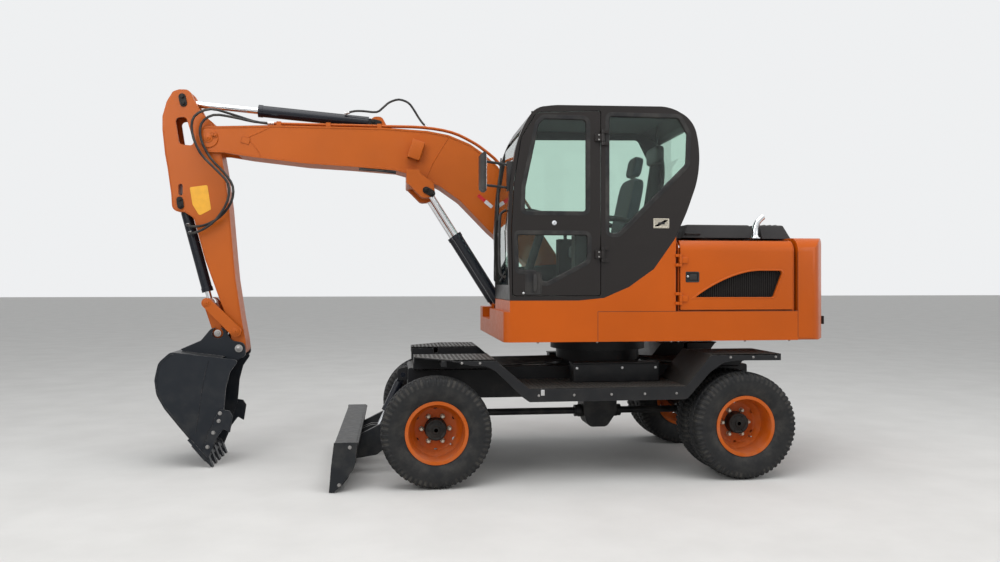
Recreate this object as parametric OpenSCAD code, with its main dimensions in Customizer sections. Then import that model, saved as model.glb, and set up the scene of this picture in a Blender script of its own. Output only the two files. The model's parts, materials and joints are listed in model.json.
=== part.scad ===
// Wheeled excavator with an offset one-piece boom, a backhoe bucket and a front dozer blade.
// Frame: +X forward, +Y towards the cab side, +Z up, origin on the ground under the slew axis.
// Side outlines are lists of [x, z, corner radius] in the XZ plane, in millimetres.

/* [Wheels] */
// Outside diameter of a tyre over its lugs
tyre_d = 860; // [780:5:900]
// Width of a tyre
tyre_w = 235; // [200:5:245]
// Depth of the tread lugs
lug_depth = 18; // [8:1:26]
// Lugs on each shoulder of a tyre
lug_count = 15; // [9:1:20]
// Diameter of the rim over its flanges
rim_d = 486; // [440:2:520]
// Width of the rim between its flange faces
rim_w = 190; // [150:5:200]
// Distance from the wheel's centre plane to the disc's mating face
disc_offset = 135; // [128:1:140]
// Overall width over the tyres
overall_w = 2000; // [1960:10:2100]
// Circle of the wheel studs
stud_pcd = 222; // [200:2:240]
// Studs in a wheel
stud_count = 6; // [5:1:8]
// Diameter of the hub's cap
hub_d = 165; // [140:5:180]

/* [Undercarriage] */
// Front axle ahead of the slew axis
front_axle_x = 1493; // [1450:1:1520]
// Rear axle behind the slew axis
rear_axle_x = -975; // [-1000:1:-950]
// Distance of each kingpin inside the outer face of the tyres
kingpin_inset = 330; // [320:1:340]
// Height of the chassis' top plate
chassis_top = 862; // [850:1:880]
// Height of the chassis' underside
chassis_low = 600; // [570:1:620]
// Half width of the chassis box
chassis_half = 290; // [260:5:310]
// Top of the platform over the front wheels
front_deck_z = 1088; // [1070:1:1090]
// Top of the platform over the rear wheels
rear_deck_z = 1006; // [980:1:1040]
// Top of the side steps
step_z = 755; // [720:5:780]
// Half width of the platforms and steps
fender_half = 950; // [900:5:970]
// Thickness of folded and flat plates
plate_t = 10; // [6:1:14]

/* [Blade] */
// Half width of the dozer blade
blade_half = 980; // [900:5:1000]
// Height of the blade
blade_top = 378; // [340:1:400]
// Clearance of the blade's edge above the ground
blade_low = 5; // [2:1:20]
// Blade hinge [x, z]
blade_pivot = [1640, 470];
// Blade cylinder's upper pin [x, z]
blade_cyl_base = [1740, 779];
// Blade cylinder's lower pin [x, z]
blade_cyl_eye = [1957, 310];

/* [House] */
// Underside of the house's skirt
skirt_low = 1113; // [1100:1:1125]
// Seam between the skirt and the panels above it
belt_z = 1350; // [1330:1:1370]
// Top of the engine hood
hood_z = 1947; // [1900:1:1980]
// Front edge of the house
house_front = 971; // [950:1:990]
// Rear edge of the hood's sides
house_rear = -1441; // [-1460:1:-1420]
// Half width of the house
house_half = 930; // [900:5:960]
// Rearmost reach of the counterweight
tail_x = -1800; // [-1850:5:-1760]
// Front wall of the engine hood
hood_front = -414; // [-420:1:-405]
// Thickness of the body panels
panel_t = 22; // [16:1:30]
// Outer radius of the slewing ring
ring_r = 420; // [400:5:440]

/* [Cab] */
// Right side of the cab
cab_right = 0; // [-5:1:10]
// Thickness of the cab's walls
cab_wall = 34; // [28:1:40]
// Thickness of the window panes
glass_t = 6; // [4:1:8]
// Rear edge of the door
door_rear = 205; // [195:1:215]
// Running gap round the door
door_gap = 6; // [5:1:8]

/* [Working arm] */
// Centre plane of the boom, stick and bucket
arm_y = -340; // [-345:1:-335]
// Boom foot pin [x, z]
boom_foot = [400, 1690];
// Stick pivot pin [x, z]
stick_pivot = [3429, 2844];
// Width of the boom over its side plates
boom_w = 286; // [270:2:300]
// Width of the stick over its side plates
stick_w = 226; // [210:2:236]
// Width of the bucket
bucket_w = 640; // [560:10:640]
// Bucket pin [x, z]
bucket_pin = [3168, 1002];
// Pin of the bucket's link [x, z]
link_pin = [3349, 1137];
// Rocker's pivot on the stick [x, z]
rocker_pivot = [3193, 1154];
// Free pin of the rocker [x, z]
rocker_end = [3437, 1402];
// Teeth on the bucket's lip
tooth_count = 5; // [4:1:6]
// Radius of the large pivot pins
pin_r = 32; // [26:1:36]
// Thickness of the clevis plates
ear_t = 24; // [18:1:28]
// Side clearance of moving pieces at a pin
side_gap = 5; // [5:1:6]

/* [Cylinders] */
// Lower pin of the boom cylinders [x, z]
boom_cyl_base = [850, 1349];
// Upper pin of the boom cylinders [x, z]
boom_cyl_eye = [1511, 2391];
// Distance of each boom cylinder from the boom's centre plane
boom_cyl_y = 235; // [232:1:240]
// Rear pin of the stick cylinder [x, z]
stick_cyl_base = [1977, 3035];
// Front pin of the stick cylinder [x, z]
stick_cyl_eye = [3650, 3172];
// Upper pin of the bucket cylinder [x, z]
bucket_cyl_base = [3666, 2274];
// Radius of the barrels of the boom cylinders
boom_barrel_r = 44; // [40:1:46]
// Radius of the barrel of the stick cylinder
stick_barrel_r = 52; // [46:1:54]
// Radius of the barrel of the bucket cylinder
bucket_barrel_r = 46; // [40:1:50]
// Radius of the piston rods
rod_r = 25; // [20:1:28]

/* [Hidden] */

// Smoothness of round pieces
$fn = 48;
// Running clearance between a shaft and its bore
fit = 0.3;
// Overshoot of a cutting tool past the face it cuts
cut = 2;
// Segments of a rounded corner
corner_n = 5;
// Paint and material colours
orange = [0.90, 0.36, 0.06];
dark = [0.13, 0.13, 0.14];
navy = [0.08, 0.09, 0.14];
steel = [0.62, 0.63, 0.65];
glass = [0.45, 0.60, 0.52, 0.4];
rubber = [0.10, 0.10, 0.10];

// Wheel places
tyre_r = tyre_d / 2;
rim_r = rim_d / 2;
// Radius on which the tyre's bead sits
bead_r = rim_r - 18;
wheel_y = overall_w / 2 - tyre_w / 2;
mating_y = wheel_y - disc_offset;
inner_wheel_y = mating_y - disc_offset;
kingpin_y = overall_w / 2 - kingpin_inset;
axle_z = tyre_r;
rim_wall = 12;
disc_t = 10;
spindle_r = 34;
// Flange face of the hub behind the disc
hub_flange_t = 22;
kingpin_r = 22;
// Heights of the steering knuckle's fork
knuckle_half = 95;

// A rounded corner b between its neighbours a and c
function corner(a, b, c, r, n) =
    let (u = (a - b) / norm(a - b), v = (c - b) / norm(c - b), half = acos(u * v) / 2,
         d = r / tan(half), o = b + (u + v) / norm(u + v) * r / sin(half), p = b + u * d - o,
         sweep = 180 - 2 * half, s = sign(cross(p, b + v * d - o)))
    r == 0 ? [b] : [for (i = [0:n]) let (t = s * sweep * i / n)
        o + [p.x * cos(t) - p.y * sin(t), p.x * sin(t) + p.y * cos(t)]];
// The points of an outline whose entries are [x, z, corner radius]
function outline(pts, n = corner_n) = let (k = len(pts)) [for (i = [0:k - 1]) each
    corner(xz(pts[(i + k - 1) % k]), xz(pts[i]), xz(pts[(i + 1) % k]), pts[i][2], n)];
function xz(p) = [p[0], p[1]];
// Twice the signed area of an outline
function turn(pts) = let (k = len(pts)) sum([for (i = [0:k - 1]) cross(xz(pts[i]), xz(pts[(i + 1) % k]))]);
function sum(v, i = 0) = i < len(v) ? v[i] + sum(v, i + 1) : 0;
// An outline moved inwards by d along its corner bisectors, with its radii kept above zero
function inset(pts, d) = let (k = len(pts), w = sign(turn(pts))) [for (i = [0:k - 1])
    let (a = xz(pts[(i + k - 1) % k]), b = xz(pts[i]), c = xz(pts[(i + 1) % k]),
         e = (b - a) / norm(b - a), f = (c - b) / norm(c - b),
         m = [-e.y - f.y, e.x + f.x] * w, q = b + m * d / (1 + e * f))
    [q.x, q.y, pts[i][2] == 0 ? 0 : max(pts[i][2] - d, 1)]];
// Point at distance d from p towards q
function along(p, q, d) = p + (q - p) / norm(q - p) * d;
// A smooth path through the points
function smooth(p, n) = let (k = len(p)) concat([for (i = [0:k - 2], j = [0:n - 1])
    let (a = p[max(i - 1, 0)], b = p[i], c = p[i + 1], d = p[min(i + 2, k - 1)], t = j / n)
    0.5 * (2 * b + (c - a) * t + (2 * a - 5 * b + 4 * c - d) * t * t
           + (3 * b - a - 3 * c + d) * t * t * t)], [p[k - 1]]);

// A plate in the XZ plane, t thick and centred on y
module plate_xz(pts, y, t) {
    translate([0, y + t / 2, 0]) rotate([90, 0, 0]) linear_extrude(t) polygon(pts);
}
// A round bar along Y, centred on y
module bar_y(p, y, l, r) {
    translate([p.x, y + l / 2, p.y]) rotate([90, 0, 0]) cylinder(h = l, r = r);
}
// Children with their Z axis from p towards q in the plane at y
module between(p, q, y) {
    translate([p.x, y, p.y]) rotate([0, atan2(q.x - p.x, q.y - p.y), 0]) children();
}
// A block given by its low and high corners
module block(a, b) {
    translate(a) cube(b - a);
}
// Two mirrored copies about the plane y = 0
module both_sides() {
    children();
    mirror([0, 1, 0]) children();
}
// A round bar between two points
module bar(p, q, r) {
    d = q - p;
    translate(p) rotate([0, acos(d.z / norm(d)), atan2(d.y, d.x)]) cylinder(h = norm(d), r = r);
}
// Two copies at distance d on either side of the arm's plane
module arm_pair(d) {
    for (s = [-1, 1]) translate([0, arm_y + s * d, 0]) children();
}
// A tube of eight sides swept along a path
module swept(path, r) {
    k = len(path);
    sides = 8;
    dirs = [for (i = [0:k - 1]) let (v = path[min(i + 1, k - 1)] - path[max(i - 1, 0)]) v / norm(v)];
    rings = [for (i = [0:k - 1]) let (t = dirs[i], s = cross(t, [0, 1, 0.05]), u = s / norm(s), w = cross(t, u))
        for (a = [0:sides - 1]) path[i] + r * (u * cos(360 * a / sides) + w * sin(360 * a / sides))];
    faces = concat([[for (a = [0:sides - 1]) a]],
        [for (i = [0:k - 2], a = [0:sides - 1])
            [i * sides + a, (i + 1) * sides + a, (i + 1) * sides + (a + 1) % sides, i * sides + (a + 1) % sides]],
        [[for (a = [sides - 1:-1:0]) (k - 1) * sides + a]]);
    polyhedron(rings, faces);
}

// Tyre section: radius from the axle, then distance from the centre plane
module tyre() {
    half = tyre_w / 2;
    bead_half = rim_w / 2 - 6;
    crown_r = tyre_r;
    section = outline([[bead_r + fit, -bead_half, 0], [rim_r + 20, -bead_half, 8], [rim_r + 60, -half, 40],
        [crown_r - 60, -half, 24], [crown_r, -half + 34, 16], [crown_r, half - 34, 16],
        [crown_r - 60, half, 24], [rim_r + 60, half, 40], [rim_r + 20, bead_half, 8],
        [bead_r + fit, bead_half, 0]], 3);
    rotate([90, 0, 0]) rotate_extrude() polygon(section);
}
// Rim with its disc towards -Y of the wheel's centre plane; the hub is fused to it
module rim(with_hub) {
    edge = rim_w / 2;
    flange = [[bead_r, -edge + 6, 0], [rim_r, -edge + 6, 3], [rim_r, -edge, 3], [bead_r - rim_wall, -edge, 0],
        [bead_r - rim_wall - 30, -disc_offset + disc_t, 30], [hub_d / 2 - cut, -disc_offset + disc_t, 0],
        [hub_d / 2 - cut, -disc_offset, 0], [bead_r - 2 * rim_wall - 30, -disc_offset, 30],
        [bead_r - 2 * rim_wall - 4, -edge + 14, 20], [bead_r - rim_wall, edge, 0], [rim_r, edge, 3],
        [rim_r, edge - 6, 3], [bead_r, edge - 6, 0]];
    // The profile runs round the barrel's inner face and back along its bead seat
    profile = [[bead_r, -edge + 6, 0], [rim_r, -edge + 6, 0], [rim_r, -edge, 0], [bead_r - rim_wall, -edge, 0],
        [bead_r - rim_wall - 36, -disc_offset, 24], [spindle_r + 20, -disc_offset, 0],
        [spindle_r + 20, -disc_offset + disc_t, 0], [bead_r - rim_wall - 46, -disc_offset + disc_t, 24],
        [bead_r - rim_wall - 8, -edge + 22, 12], [bead_r - rim_wall, edge - 20, 12], [bead_r - rim_wall + 4, edge, 0],
        [rim_r, edge, 0], [rim_r, edge - 6, 0], [bead_r, edge - 6, 0]];
    rotate([-90, 0, 0]) {
        difference() {
            rotate_extrude() polygon(outline(profile, 4));
            for (i = [0:stud_count - 1]) rotate([0, 0, 360 / stud_count * (i + 0.5)])
                translate([170, 0, -disc_offset - cut]) cylinder(h = disc_t + 2 * cut, r = 16);
        }
        if (with_hub) hub();
    }
}
// Hub with its cap and studs, along +Z from the disc's mating face
module hub() {
    difference() {
        union() {
            translate([0, 0, -disc_offset - hub_flange_t]) cylinder(h = hub_flange_t, r = stud_pcd / 2 + 26);
            translate([0, 0, -disc_offset]) cylinder(h = 62, r = hub_d / 2);
            translate([0, 0, -disc_offset + 62]) cylinder(h = 30, r1 = hub_d / 2 - 6, r2 = hub_d / 2 - 22);
        }
        translate([0, 0, -disc_offset - hub_flange_t - cut]) cylinder(h = 80, r = spindle_r + fit);
    }
    for (i = [0:stud_count - 1]) rotate([0, 0, 360 / stud_count * i])
        translate([stud_pcd / 2, 0, -disc_offset]) cylinder(h = disc_t + 28, r = 11);
}
// Places a wheel on the left; the right one is its mirror
module at_wheel(x, y, left) {
    if (left) translate([x, y, axle_z]) children();
    else mirror([0, 1, 0]) translate([x, y, axle_z]) children();
}
module front_tyre(left) { color(rubber) at_wheel(front_axle_x, wheel_y, left) tyre(); }
module front_rim(left) { color(orange) at_wheel(front_axle_x, wheel_y, left) rim(true); }
module rear_tyres(left) {
    color(rubber) for (y = [wheel_y, inner_wheel_y]) at_wheel(rear_axle_x, y, left) tyre();
}
// The inner rim of a twin wheel is turned round, so the discs meet back to back
module rear_rims(left) {
    color(orange) {
        at_wheel(rear_axle_x, wheel_y, left) rim(false);
        at_wheel(rear_axle_x, inner_wheel_y, left) mirror([0, 1, 0]) rim(false);
        at_wheel(rear_axle_x, wheel_y, left) rotate([-90, 0, 0]) twin_hub();
    }
}
// The twin wheel's hub has its flange behind the inner disc
module twin_hub() {
    translate([0, 0, -disc_t]) hub();
}

// Welded box of the chassis with the turntable drum, the blade's ears and the axle saddles
frame_rear = -1290;
frame_front = 1700;
drum_r = 370;
drum_top = 1000;
spigot_r = 300;
spigot_top = 1085;
arm_half = 330;
arm_t = 40;
module frame() {
    color(dark) {
        side = outline([[frame_rear, chassis_low + 60, 20], [frame_rear, chassis_top, 20],
            [frame_front, chassis_top, 20], [frame_front, chassis_low + 40, 30],
            [front_axle_x + 160, chassis_low, 40], [rear_axle_x - 150, chassis_low, 40]]);
        plate_xz(side, 0, 2 * chassis_half);
        translate([0, 0, chassis_top]) cylinder(h = drum_top - chassis_top, r = drum_r);
        translate([0, 0, drum_top]) cylinder(h = spigot_top - drum_top, r = spigot_r);
        blade_ears();
        for (x = [front_axle_x, rear_axle_x]) axle_saddle(x);
        cylinder_ears();
    }
}
// Ears that carry the blade's arms
module blade_ears() {
    both_sides() for (y = [arm_half - arm_t / 2 - side_gap - ear_t / 2, arm_half + arm_t / 2 + side_gap + ear_t / 2])
        difference() {
            plate_xz(outline([[blade_pivot.x - 50, chassis_low + 120, 0], [blade_pivot.x + 60, chassis_low + 120, 0],
                [blade_pivot.x + 60, blade_pivot.y - 50, 48], [blade_pivot.x - 50, blade_pivot.y - 50, 48]]), y, ear_t);
            bar_y(blade_pivot, y, ear_t + 2 * cut, pin_r * 0.75 + fit);
        }
    both_sides() block([blade_pivot.x - 160, chassis_half, chassis_low + 40],
        [blade_pivot.x + 60, arm_half + arm_t / 2 + side_gap + ear_t, chassis_low + 120]);
}
// Bracket of the blade's cylinder on the chassis' nose
blade_eye_w = 60;
module cylinder_ears() {
    for (s = [-1, 1]) difference() {
        plate_xz(outline([[frame_front - 40, chassis_low + 140, 0], [blade_cyl_base.x + 50, blade_cyl_base.y - 50, 30],
            [blade_cyl_base.x + 50, blade_cyl_base.y + 50, 30], [frame_front - 40, chassis_top, 0]]),
            s * (blade_eye_w / 2 + side_gap + ear_t / 2), ear_t);
        bar_y(blade_cyl_base, s * (blade_eye_w / 2 + side_gap + ear_t / 2), ear_t + 2 * cut, cyl_pin_r + fit);
    }
}
// Saddle between the chassis and an axle
axle_r = 82;
module axle_saddle(x) {
    both_sides() difference() {
        block([x - 100, 200, axle_z + axle_r / 2], [x + 100, 265, chassis_low + 20]);
        bar_y([x, axle_z], 230, 80, axle_r + fit);
    }
}

// Platforms over the wheels and steps between them, one folded plate on each side
module fenders() {
    color(dark) {
        t = plate_t;
        top = [[1666, front_deck_z], [1060, front_deck_z], [800, step_z], [-490, step_z],
            [-700, rear_deck_z], [-1285, rear_deck_z]];
        band = concat([for (p = top) p], [for (i = [len(top) - 1:-1:0]) top[i] - [0, fender_drop(i)]]);
        sheet = concat([for (p = top) p], [for (i = [len(top) - 1:-1:0]) top[i] - [0, t]]);
        both_sides() {
            plate_xz(band, fender_half - t / 2, t);
            plate_xz(sheet, (fender_half + chassis_half + 30) / 2, fender_half - chassis_half - 30);
            fender_supports();
        }
        block([1060, -chassis_half - 30, front_deck_z - t], [1666, chassis_half + 30, front_deck_z]);
        block([1666 - t, -fender_half, front_deck_z - 76], [1666, fender_half, front_deck_z]);
        block([frame_front - 60, -200, chassis_top], [frame_front - 40, 200, front_deck_z - t]);
        block([1080, -chassis_half, chassis_top], [1100, chassis_half, front_deck_z - t]);
    }
}
// Depth of the folded edge at each corner of the platform line
function fender_drop(i) = [76, 76, 105, 105, 52, 52][i];
module fender_supports() {
    block([700, chassis_half, step_z - 80], [740, fender_half - plate_t, step_z - plate_t]);
    block([-430, chassis_half, step_z - 80], [-390, fender_half - plate_t, step_z - plate_t]);
    block([100, chassis_half, step_z - 80], [140, fender_half - plate_t, step_z - plate_t]);
    block([rear_axle_x - 20, chassis_half - 40, chassis_top], [rear_axle_x + 20, chassis_half + 30 + plate_t, rear_deck_z - plate_t]);
    block([rear_axle_x - 20, chassis_half, rear_deck_z - 70], [rear_axle_x + 20, fender_half - plate_t, rear_deck_z - plate_t]);
}

// Transfer case and propeller shafts
module drivetrain() {
    color(dark) {
        plate_xz(outline([[-150, chassis_low, 0], [-150, 430, 40], [-60, 300, 60], [110, 300, 60],
            [150, 430, 40], [150, chassis_low, 0]]), 0, 240);
        for (s = [1, -1]) {
            tip = s > 0 ? front_axle_x - gear_tail : rear_axle_x + gear_tail;
            p = [s * 150, 430];
            between(p, [tip, axle_z], 0) {
                l = norm([tip, axle_z] - p);
                cylinder(h = l, r = 30);
                cylinder(h = 60, r = 52);
                translate([0, 0, l - 60]) cylinder(h = 60, r = 52);
            }
        }
    }
}

// Reach of a gear case towards its shaft
gear_tail = 176;
// Front and rear axle beams with their gear cases
module axles() {
    color(dark) {
        front_axle();
        rear_axle();
    }
}
module gear_case(x) {
    translate([x, 0, axle_z]) sphere(r = 150, $fn = 32);
    towards = x > 0 ? -1 : 1;
    translate([x, 0, axle_z]) rotate([0, 90 * towards, 0]) cylinder(h = gear_tail, r = 60);
}
module front_axle() {
    gear_case(front_axle_x);
    beam_end = kingpin_y - 84;
    bar_y([front_axle_x, axle_z], 0, 2 * beam_end, axle_r);
    both_sides() for (s = [-1, 1]) difference() {
        translate([front_axle_x, kingpin_y, axle_z + s * (knuckle_half + side_gap + 14)])
            cylinder(h = 28, r = 48, center = true);
        translate([front_axle_x, kingpin_y, axle_z + s * (knuckle_half + side_gap + 14)])
            cylinder(h = 40, r = kingpin_r + fit, center = true);
    }
    both_sides() difference() {
        block([front_axle_x - 48, beam_end - 40, axle_z - knuckle_half - side_gap - 28],
            [front_axle_x + 48, kingpin_y, axle_z + knuckle_half + side_gap + 28]);
        translate([front_axle_x, kingpin_y, axle_z]) cylinder(h = 400, r = kingpin_r + fit, center = true);
        translate([front_axle_x, kingpin_y, axle_z]) cylinder(h = 2 * (knuckle_half + side_gap), r = 80, center = true);
    }
}
module rear_axle() {
    gear_case(rear_axle_x);
    bar_y([rear_axle_x, axle_z], 0, 2 * (mating_y - disc_t - hub_flange_t - side_gap), axle_r);
    bar_y([rear_axle_x, axle_z], 0, 2 * (mating_y + 20), spindle_r);
}

// Steering knuckles with their stub axles and steering arms
steer_arm = 190;
tie_z = axle_z - 60;
tie_y = kingpin_y;
module knuckle() {
    translate([front_axle_x, kingpin_y, axle_z]) {
        cylinder(h = 2 * knuckle_half, r = 52, center = true);
        rotate([-90, 0, 0]) cylinder(h = mating_y - hub_flange_t - side_gap - kingpin_y, r = 60);
        rotate([-90, 0, 0]) cylinder(h = mating_y + 30 - kingpin_y, r = spindle_r);
    }
    knuckle_arm();
    translate([front_axle_x, kingpin_y, axle_z]) cylinder(h = 2 * (knuckle_half + side_gap + 28), r = kingpin_r, center = true);
}
module knuckle_arm() {
    difference() {
        union() {
            translate([front_axle_x - steer_arm, tie_y, tie_z]) cylinder(h = 28, r = 30, center = true);
            translate([front_axle_x - steer_arm, tie_y - 22, tie_z - 14]) cube([steer_arm - 20, 44, 28]);
        }
        translate([front_axle_x - steer_arm, tie_y, tie_z]) cylinder(h = 60, r = 12 + fit, center = true);
    }
}
module knuckle_left() { color(dark) knuckle(); }
module knuckle_right() { color(dark) mirror([0, 1, 0]) knuckle(); }
// Tie rod under the steering arms
module tie_rod() {
    color(steel) {
        translate([front_axle_x - steer_arm, 0, tie_z - 14 - fit - 16]) rotate([90, 0, 0])
            cylinder(h = 2 * tie_y, r = 16, center = true);
        both_sides() translate([front_axle_x - steer_arm, tie_y, tie_z - 14 - fit - 32]) {
            cylinder(h = 32, r = 26);
            cylinder(h = 64 + fit, r = 12);
        }
    }
}

// Dozer blade: a curved mouldboard between end plates, with two arms back to the chassis
module blade() {
    color(dark) {
        back_face = outline([[2089, blade_top, 10], [2264, blade_top, 6], [2190, 262, 200], [2200, 105, 150],
            [2301, blade_low, 4], [2262, blade_low, 4], [2150, 110, 120], [2130, 250, 160]]);
        plate_xz(back_face, 0, 2 * blade_half - 2 * plate_t);
        end = outline([[2089, blade_top, 10], [2264, blade_top, 6], [2285, 200, 120], [2301, blade_low, 4],
            [2262, blade_low, 4], [2110, 180, 120]]);
        for (s = [-1, 1]) plate_xz(end, s * (blade_half - plate_t / 2), plate_t);
        both_sides() blade_arm();
        blade_lugs();
    }
}
module blade_arm() {
    difference() {
        plate_xz(outline([[blade_pivot.x - 50, blade_pivot.y - 50, 45], [blade_pivot.x - 50, blade_pivot.y + 50, 45],
            [blade_pivot.x + 60, blade_pivot.y + 50, 30], [2140, 300, 0], [2165, 120, 0], [1960, 150, 60]]), arm_half, arm_t);
        bar_y(blade_pivot, arm_half, arm_t + 2 * cut, pin_r * 0.75 + fit);
    }
    // Hinge pin, held by the arm
    bar_y(blade_pivot, arm_half, arm_t + 2 * (side_gap + ear_t), pin_r * 0.75);
}
// Lugs for the blade's cylinder
module blade_lugs() {
    for (s = [-1, 1]) plate_xz(outline([[blade_cyl_eye.x - 40, blade_cyl_eye.y - 40, 30],
        [blade_cyl_eye.x - 40, blade_cyl_eye.y + 40, 30], [blade_cyl_eye.x + 60, blade_cyl_eye.y + 40, 20],
        [2140, 300, 0], [2160, 150, 0], [blade_cyl_eye.x + 40, blade_cyl_eye.y - 60, 30]]),
        s * (blade_eye_w / 2 + side_gap + ear_t / 2), ear_t);
}

// A cylinder's barrel along +Z from its base pin: a narrow eye, the tube with its bore, and the gland
module barrel(l, r, bore_r, eye_r, eye_w, rod) {
    difference() {
        union() {
            translate([0, 0, tube_start]) cylinder(h = l - tube_start, r = r);
            translate([0, 0, l - gland_l]) cylinder(h = gland_l, r = r + 4);
            translate([-eye_r * 0.7, -eye_w / 2, 0]) cube([eye_r * 1.4, eye_w, tube_start + cut]);
            rotate([90, 0, 0]) cylinder(h = eye_w, r = eye_r, center = true);
        }
        translate([0, 0, tube_start + base_t]) cylinder(h = l - tube_start - base_t - gland_l, r = bore_r);
        translate([0, 0, l - gland_l - cut]) cylinder(h = gland_l + 2 * cut, r = rod + fit);
        rotate([90, 0, 0]) cylinder(h = eye_w + 2 * cut, r = cyl_pin_r + fit, center = true);
    }
}
// A piston rod along +Z: its piston starts at tail, and its eye's centre is at l
module rod(tail, l, r, bore_r, eye_r, eye_w) {
    translate([0, 0, tail]) cylinder(h = l - tail - eye_r * 0.5, r = r);
    translate([0, 0, tail]) cylinder(h = piston_l, r = bore_r - fit);
    translate([0, 0, l]) rotate([90, 0, 0]) cylinder(h = eye_w, r = eye_r, center = true);
}
// Wall of a barrel, distance of its tube from the base pin, closed end, gland and piston lengths
barrel_wall = 9;
tube_start = 72;
base_t = 6;
gland_l = 38;
piston_l = 18;
cyl_pin_r = 22;
// Outer radius of the ears that hold a cylinder's pin
ear_r = 50;
blade_tail = 215;
blade_barrel_l = 350;
blade_barrel_r = 38;
module blade_barrel() {
    color(navy) between(blade_cyl_base, blade_cyl_eye, 0)
        barrel(blade_barrel_l, blade_barrel_r, blade_barrel_r - barrel_wall, 40, blade_eye_w, rod_r - 5);
    color(navy) bar_y(blade_cyl_base, 0, blade_eye_w + 2 * (side_gap + ear_t), cyl_pin_r);
}
module blade_rod() {
    color(steel) between(blade_cyl_base, blade_cyl_eye, 0)
        rod(blade_tail, norm(blade_cyl_eye - blade_cyl_base), rod_r - 5, blade_barrel_r - barrel_wall, 30, blade_eye_w);
}

// Slewing ring between the drum and the house
module slew_ring() {
    color(dark) difference() {
        translate([0, 0, drum_top + 0.5]) cylinder(h = house_floor - drum_top - 0.5, r = ring_r);
        translate([0, 0, drum_top - cut]) cylinder(h = house_floor - drum_top + 2 * cut, r = spigot_r + 0.5);
    }
}

// Revolving deck with its skirt, the boom's foot bracket and the body panel below the cab
house_floor = 1165;
slot_half = 300;
slot_floor = 1252;
slot_x = 640;
module deck() {
    color(orange) {
        difference() {
            deck_body();
            deck_recess();
        }
        boom_bracket();
        cab_base();
        cylinder_brackets();
    }
}
module deck_body() {
    plan = outline([[house_rear, -house_half, 0], [house_front, -house_half, 90], [house_front, house_half, 60],
        [house_rear, house_half, 0]]);
    translate([0, 0, skirt_low]) linear_extrude(belt_z - skirt_low) polygon(plan);
}
module deck_recess() {
    rim = 40;
    plan = outline([[house_rear + rim, -house_half + rim, 60], [house_front - rim, -house_half + rim, 60],
        [house_front - rim, house_half - rim, 60], [house_rear + rim, house_half - rim, 60]]);
    translate([0, 0, skirt_low - cut]) linear_extrude(house_floor - skirt_low + cut) polygon(plan);
    block([slot_x, arm_y - slot_half, slot_floor], [house_front + cut, arm_y + slot_half, belt_z + cut]);
}
// Two plates that carry the boom's foot pin
module boom_bracket() {
    y = boom_w / 2 + side_gap + ear_t / 2;
    arm_pair(0) for (s = [-1, 1]) translate([0, s * y, 0]) difference() {
        plate_xz(outline([[boom_foot.x - 330, belt_z, 0], [boom_foot.x - 100, boom_foot.y + 90, 90],
            [boom_foot.x + 100, boom_foot.y + 90, 90], [boom_foot.x + 190, belt_z + 60, 60], [boom_foot.x + 240, belt_z, 0]]), 0, ear_t);
        bar_y(boom_foot, 0, ear_t + 2 * cut, pin_r + 8 + fit);
    }
}
// Ears for the bases of the boom's cylinders
cyl_eye_w = 50;
module cylinder_brackets() {
    gap = cyl_eye_w / 2 + side_gap + 10;
    arm_pair(boom_cyl_y) for (s = [-1, 1]) translate([0, s * gap, 0]) difference() {
        plate_xz(outline([[boom_cyl_base.x - 170, slot_floor, 0], [boom_cyl_base.x - ear_r, boom_cyl_base.y + ear_r, 48],
            [boom_cyl_base.x + ear_r, boom_cyl_base.y + ear_r, 48], [boom_cyl_base.x + ear_r, slot_floor, 0]]), 0, 20);
        bar_y(boom_cyl_base, 0, 30, cyl_pin_r + fit);
    }
}

// The cab's side outline, and the part of it that the panel below follows
cab_low = 1438;
cab_line = [[925, cab_low, 10], [943, 2003, 0], [924, 2360, 0], [861, 2734, 60], [727, 2948, 90], [561, 2970, 0],
    [-363, 2982, 60], [-560, 2880, 90], [-614, 2640, 0], [-595, 2400, 0], [-503, 2143, 0],
    [-404, 1927, 0], [-231, 1687, 0], [-27, 1544, 0], [176, 1458, 0], [377, cab_low, 0]];
module cab_base() {
    pts = [[925, belt_z], [925, cab_low], [377, cab_low], [176, 1458], [-27, 1544], [-231, 1687], [-404, 1927],
        [hood_front, hood_z], [hood_front, belt_z]];
    plate_xz(pts, (cab_right + house_half) / 2, house_half - cab_right);
}
// The cab's volume with every face moved inwards by d
module cab_volume(d) {
    plate_xz(outline(inset(cab_line, d)), (cab_right + house_half) / 2, house_half - cab_right - 2 * d);
}
// Window cuts
module window_cuts() {
    // Windscreen
    block([650, cab_right + 55, 1560], [1000, house_half - 60, 2790]);
    // Rear window
    block([-700, cab_right + 90, 2230], [-400, house_half - 90, 2820]);
    // Right side window
    plate_xz(outline([[840, 1700, 40], [845, 2120, 0], [770, 2700, 60], [660, 2860, 60], [-380, 2880, 60],
        [-500, 2640, 60], [-440, 2250, 40], [-60, 1760, 60]]), cab_right, 4 * cab_wall);
    // Quarter window behind the door
    plate_xz(outline([[140, 2900, 30], [-440, 2900, 50], [-515, 2766, 40], [-505, 2520, 60], [60, 1960, 30],
        [140, 1960, 30]]), house_half, 3 * cab_wall);
}
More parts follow.
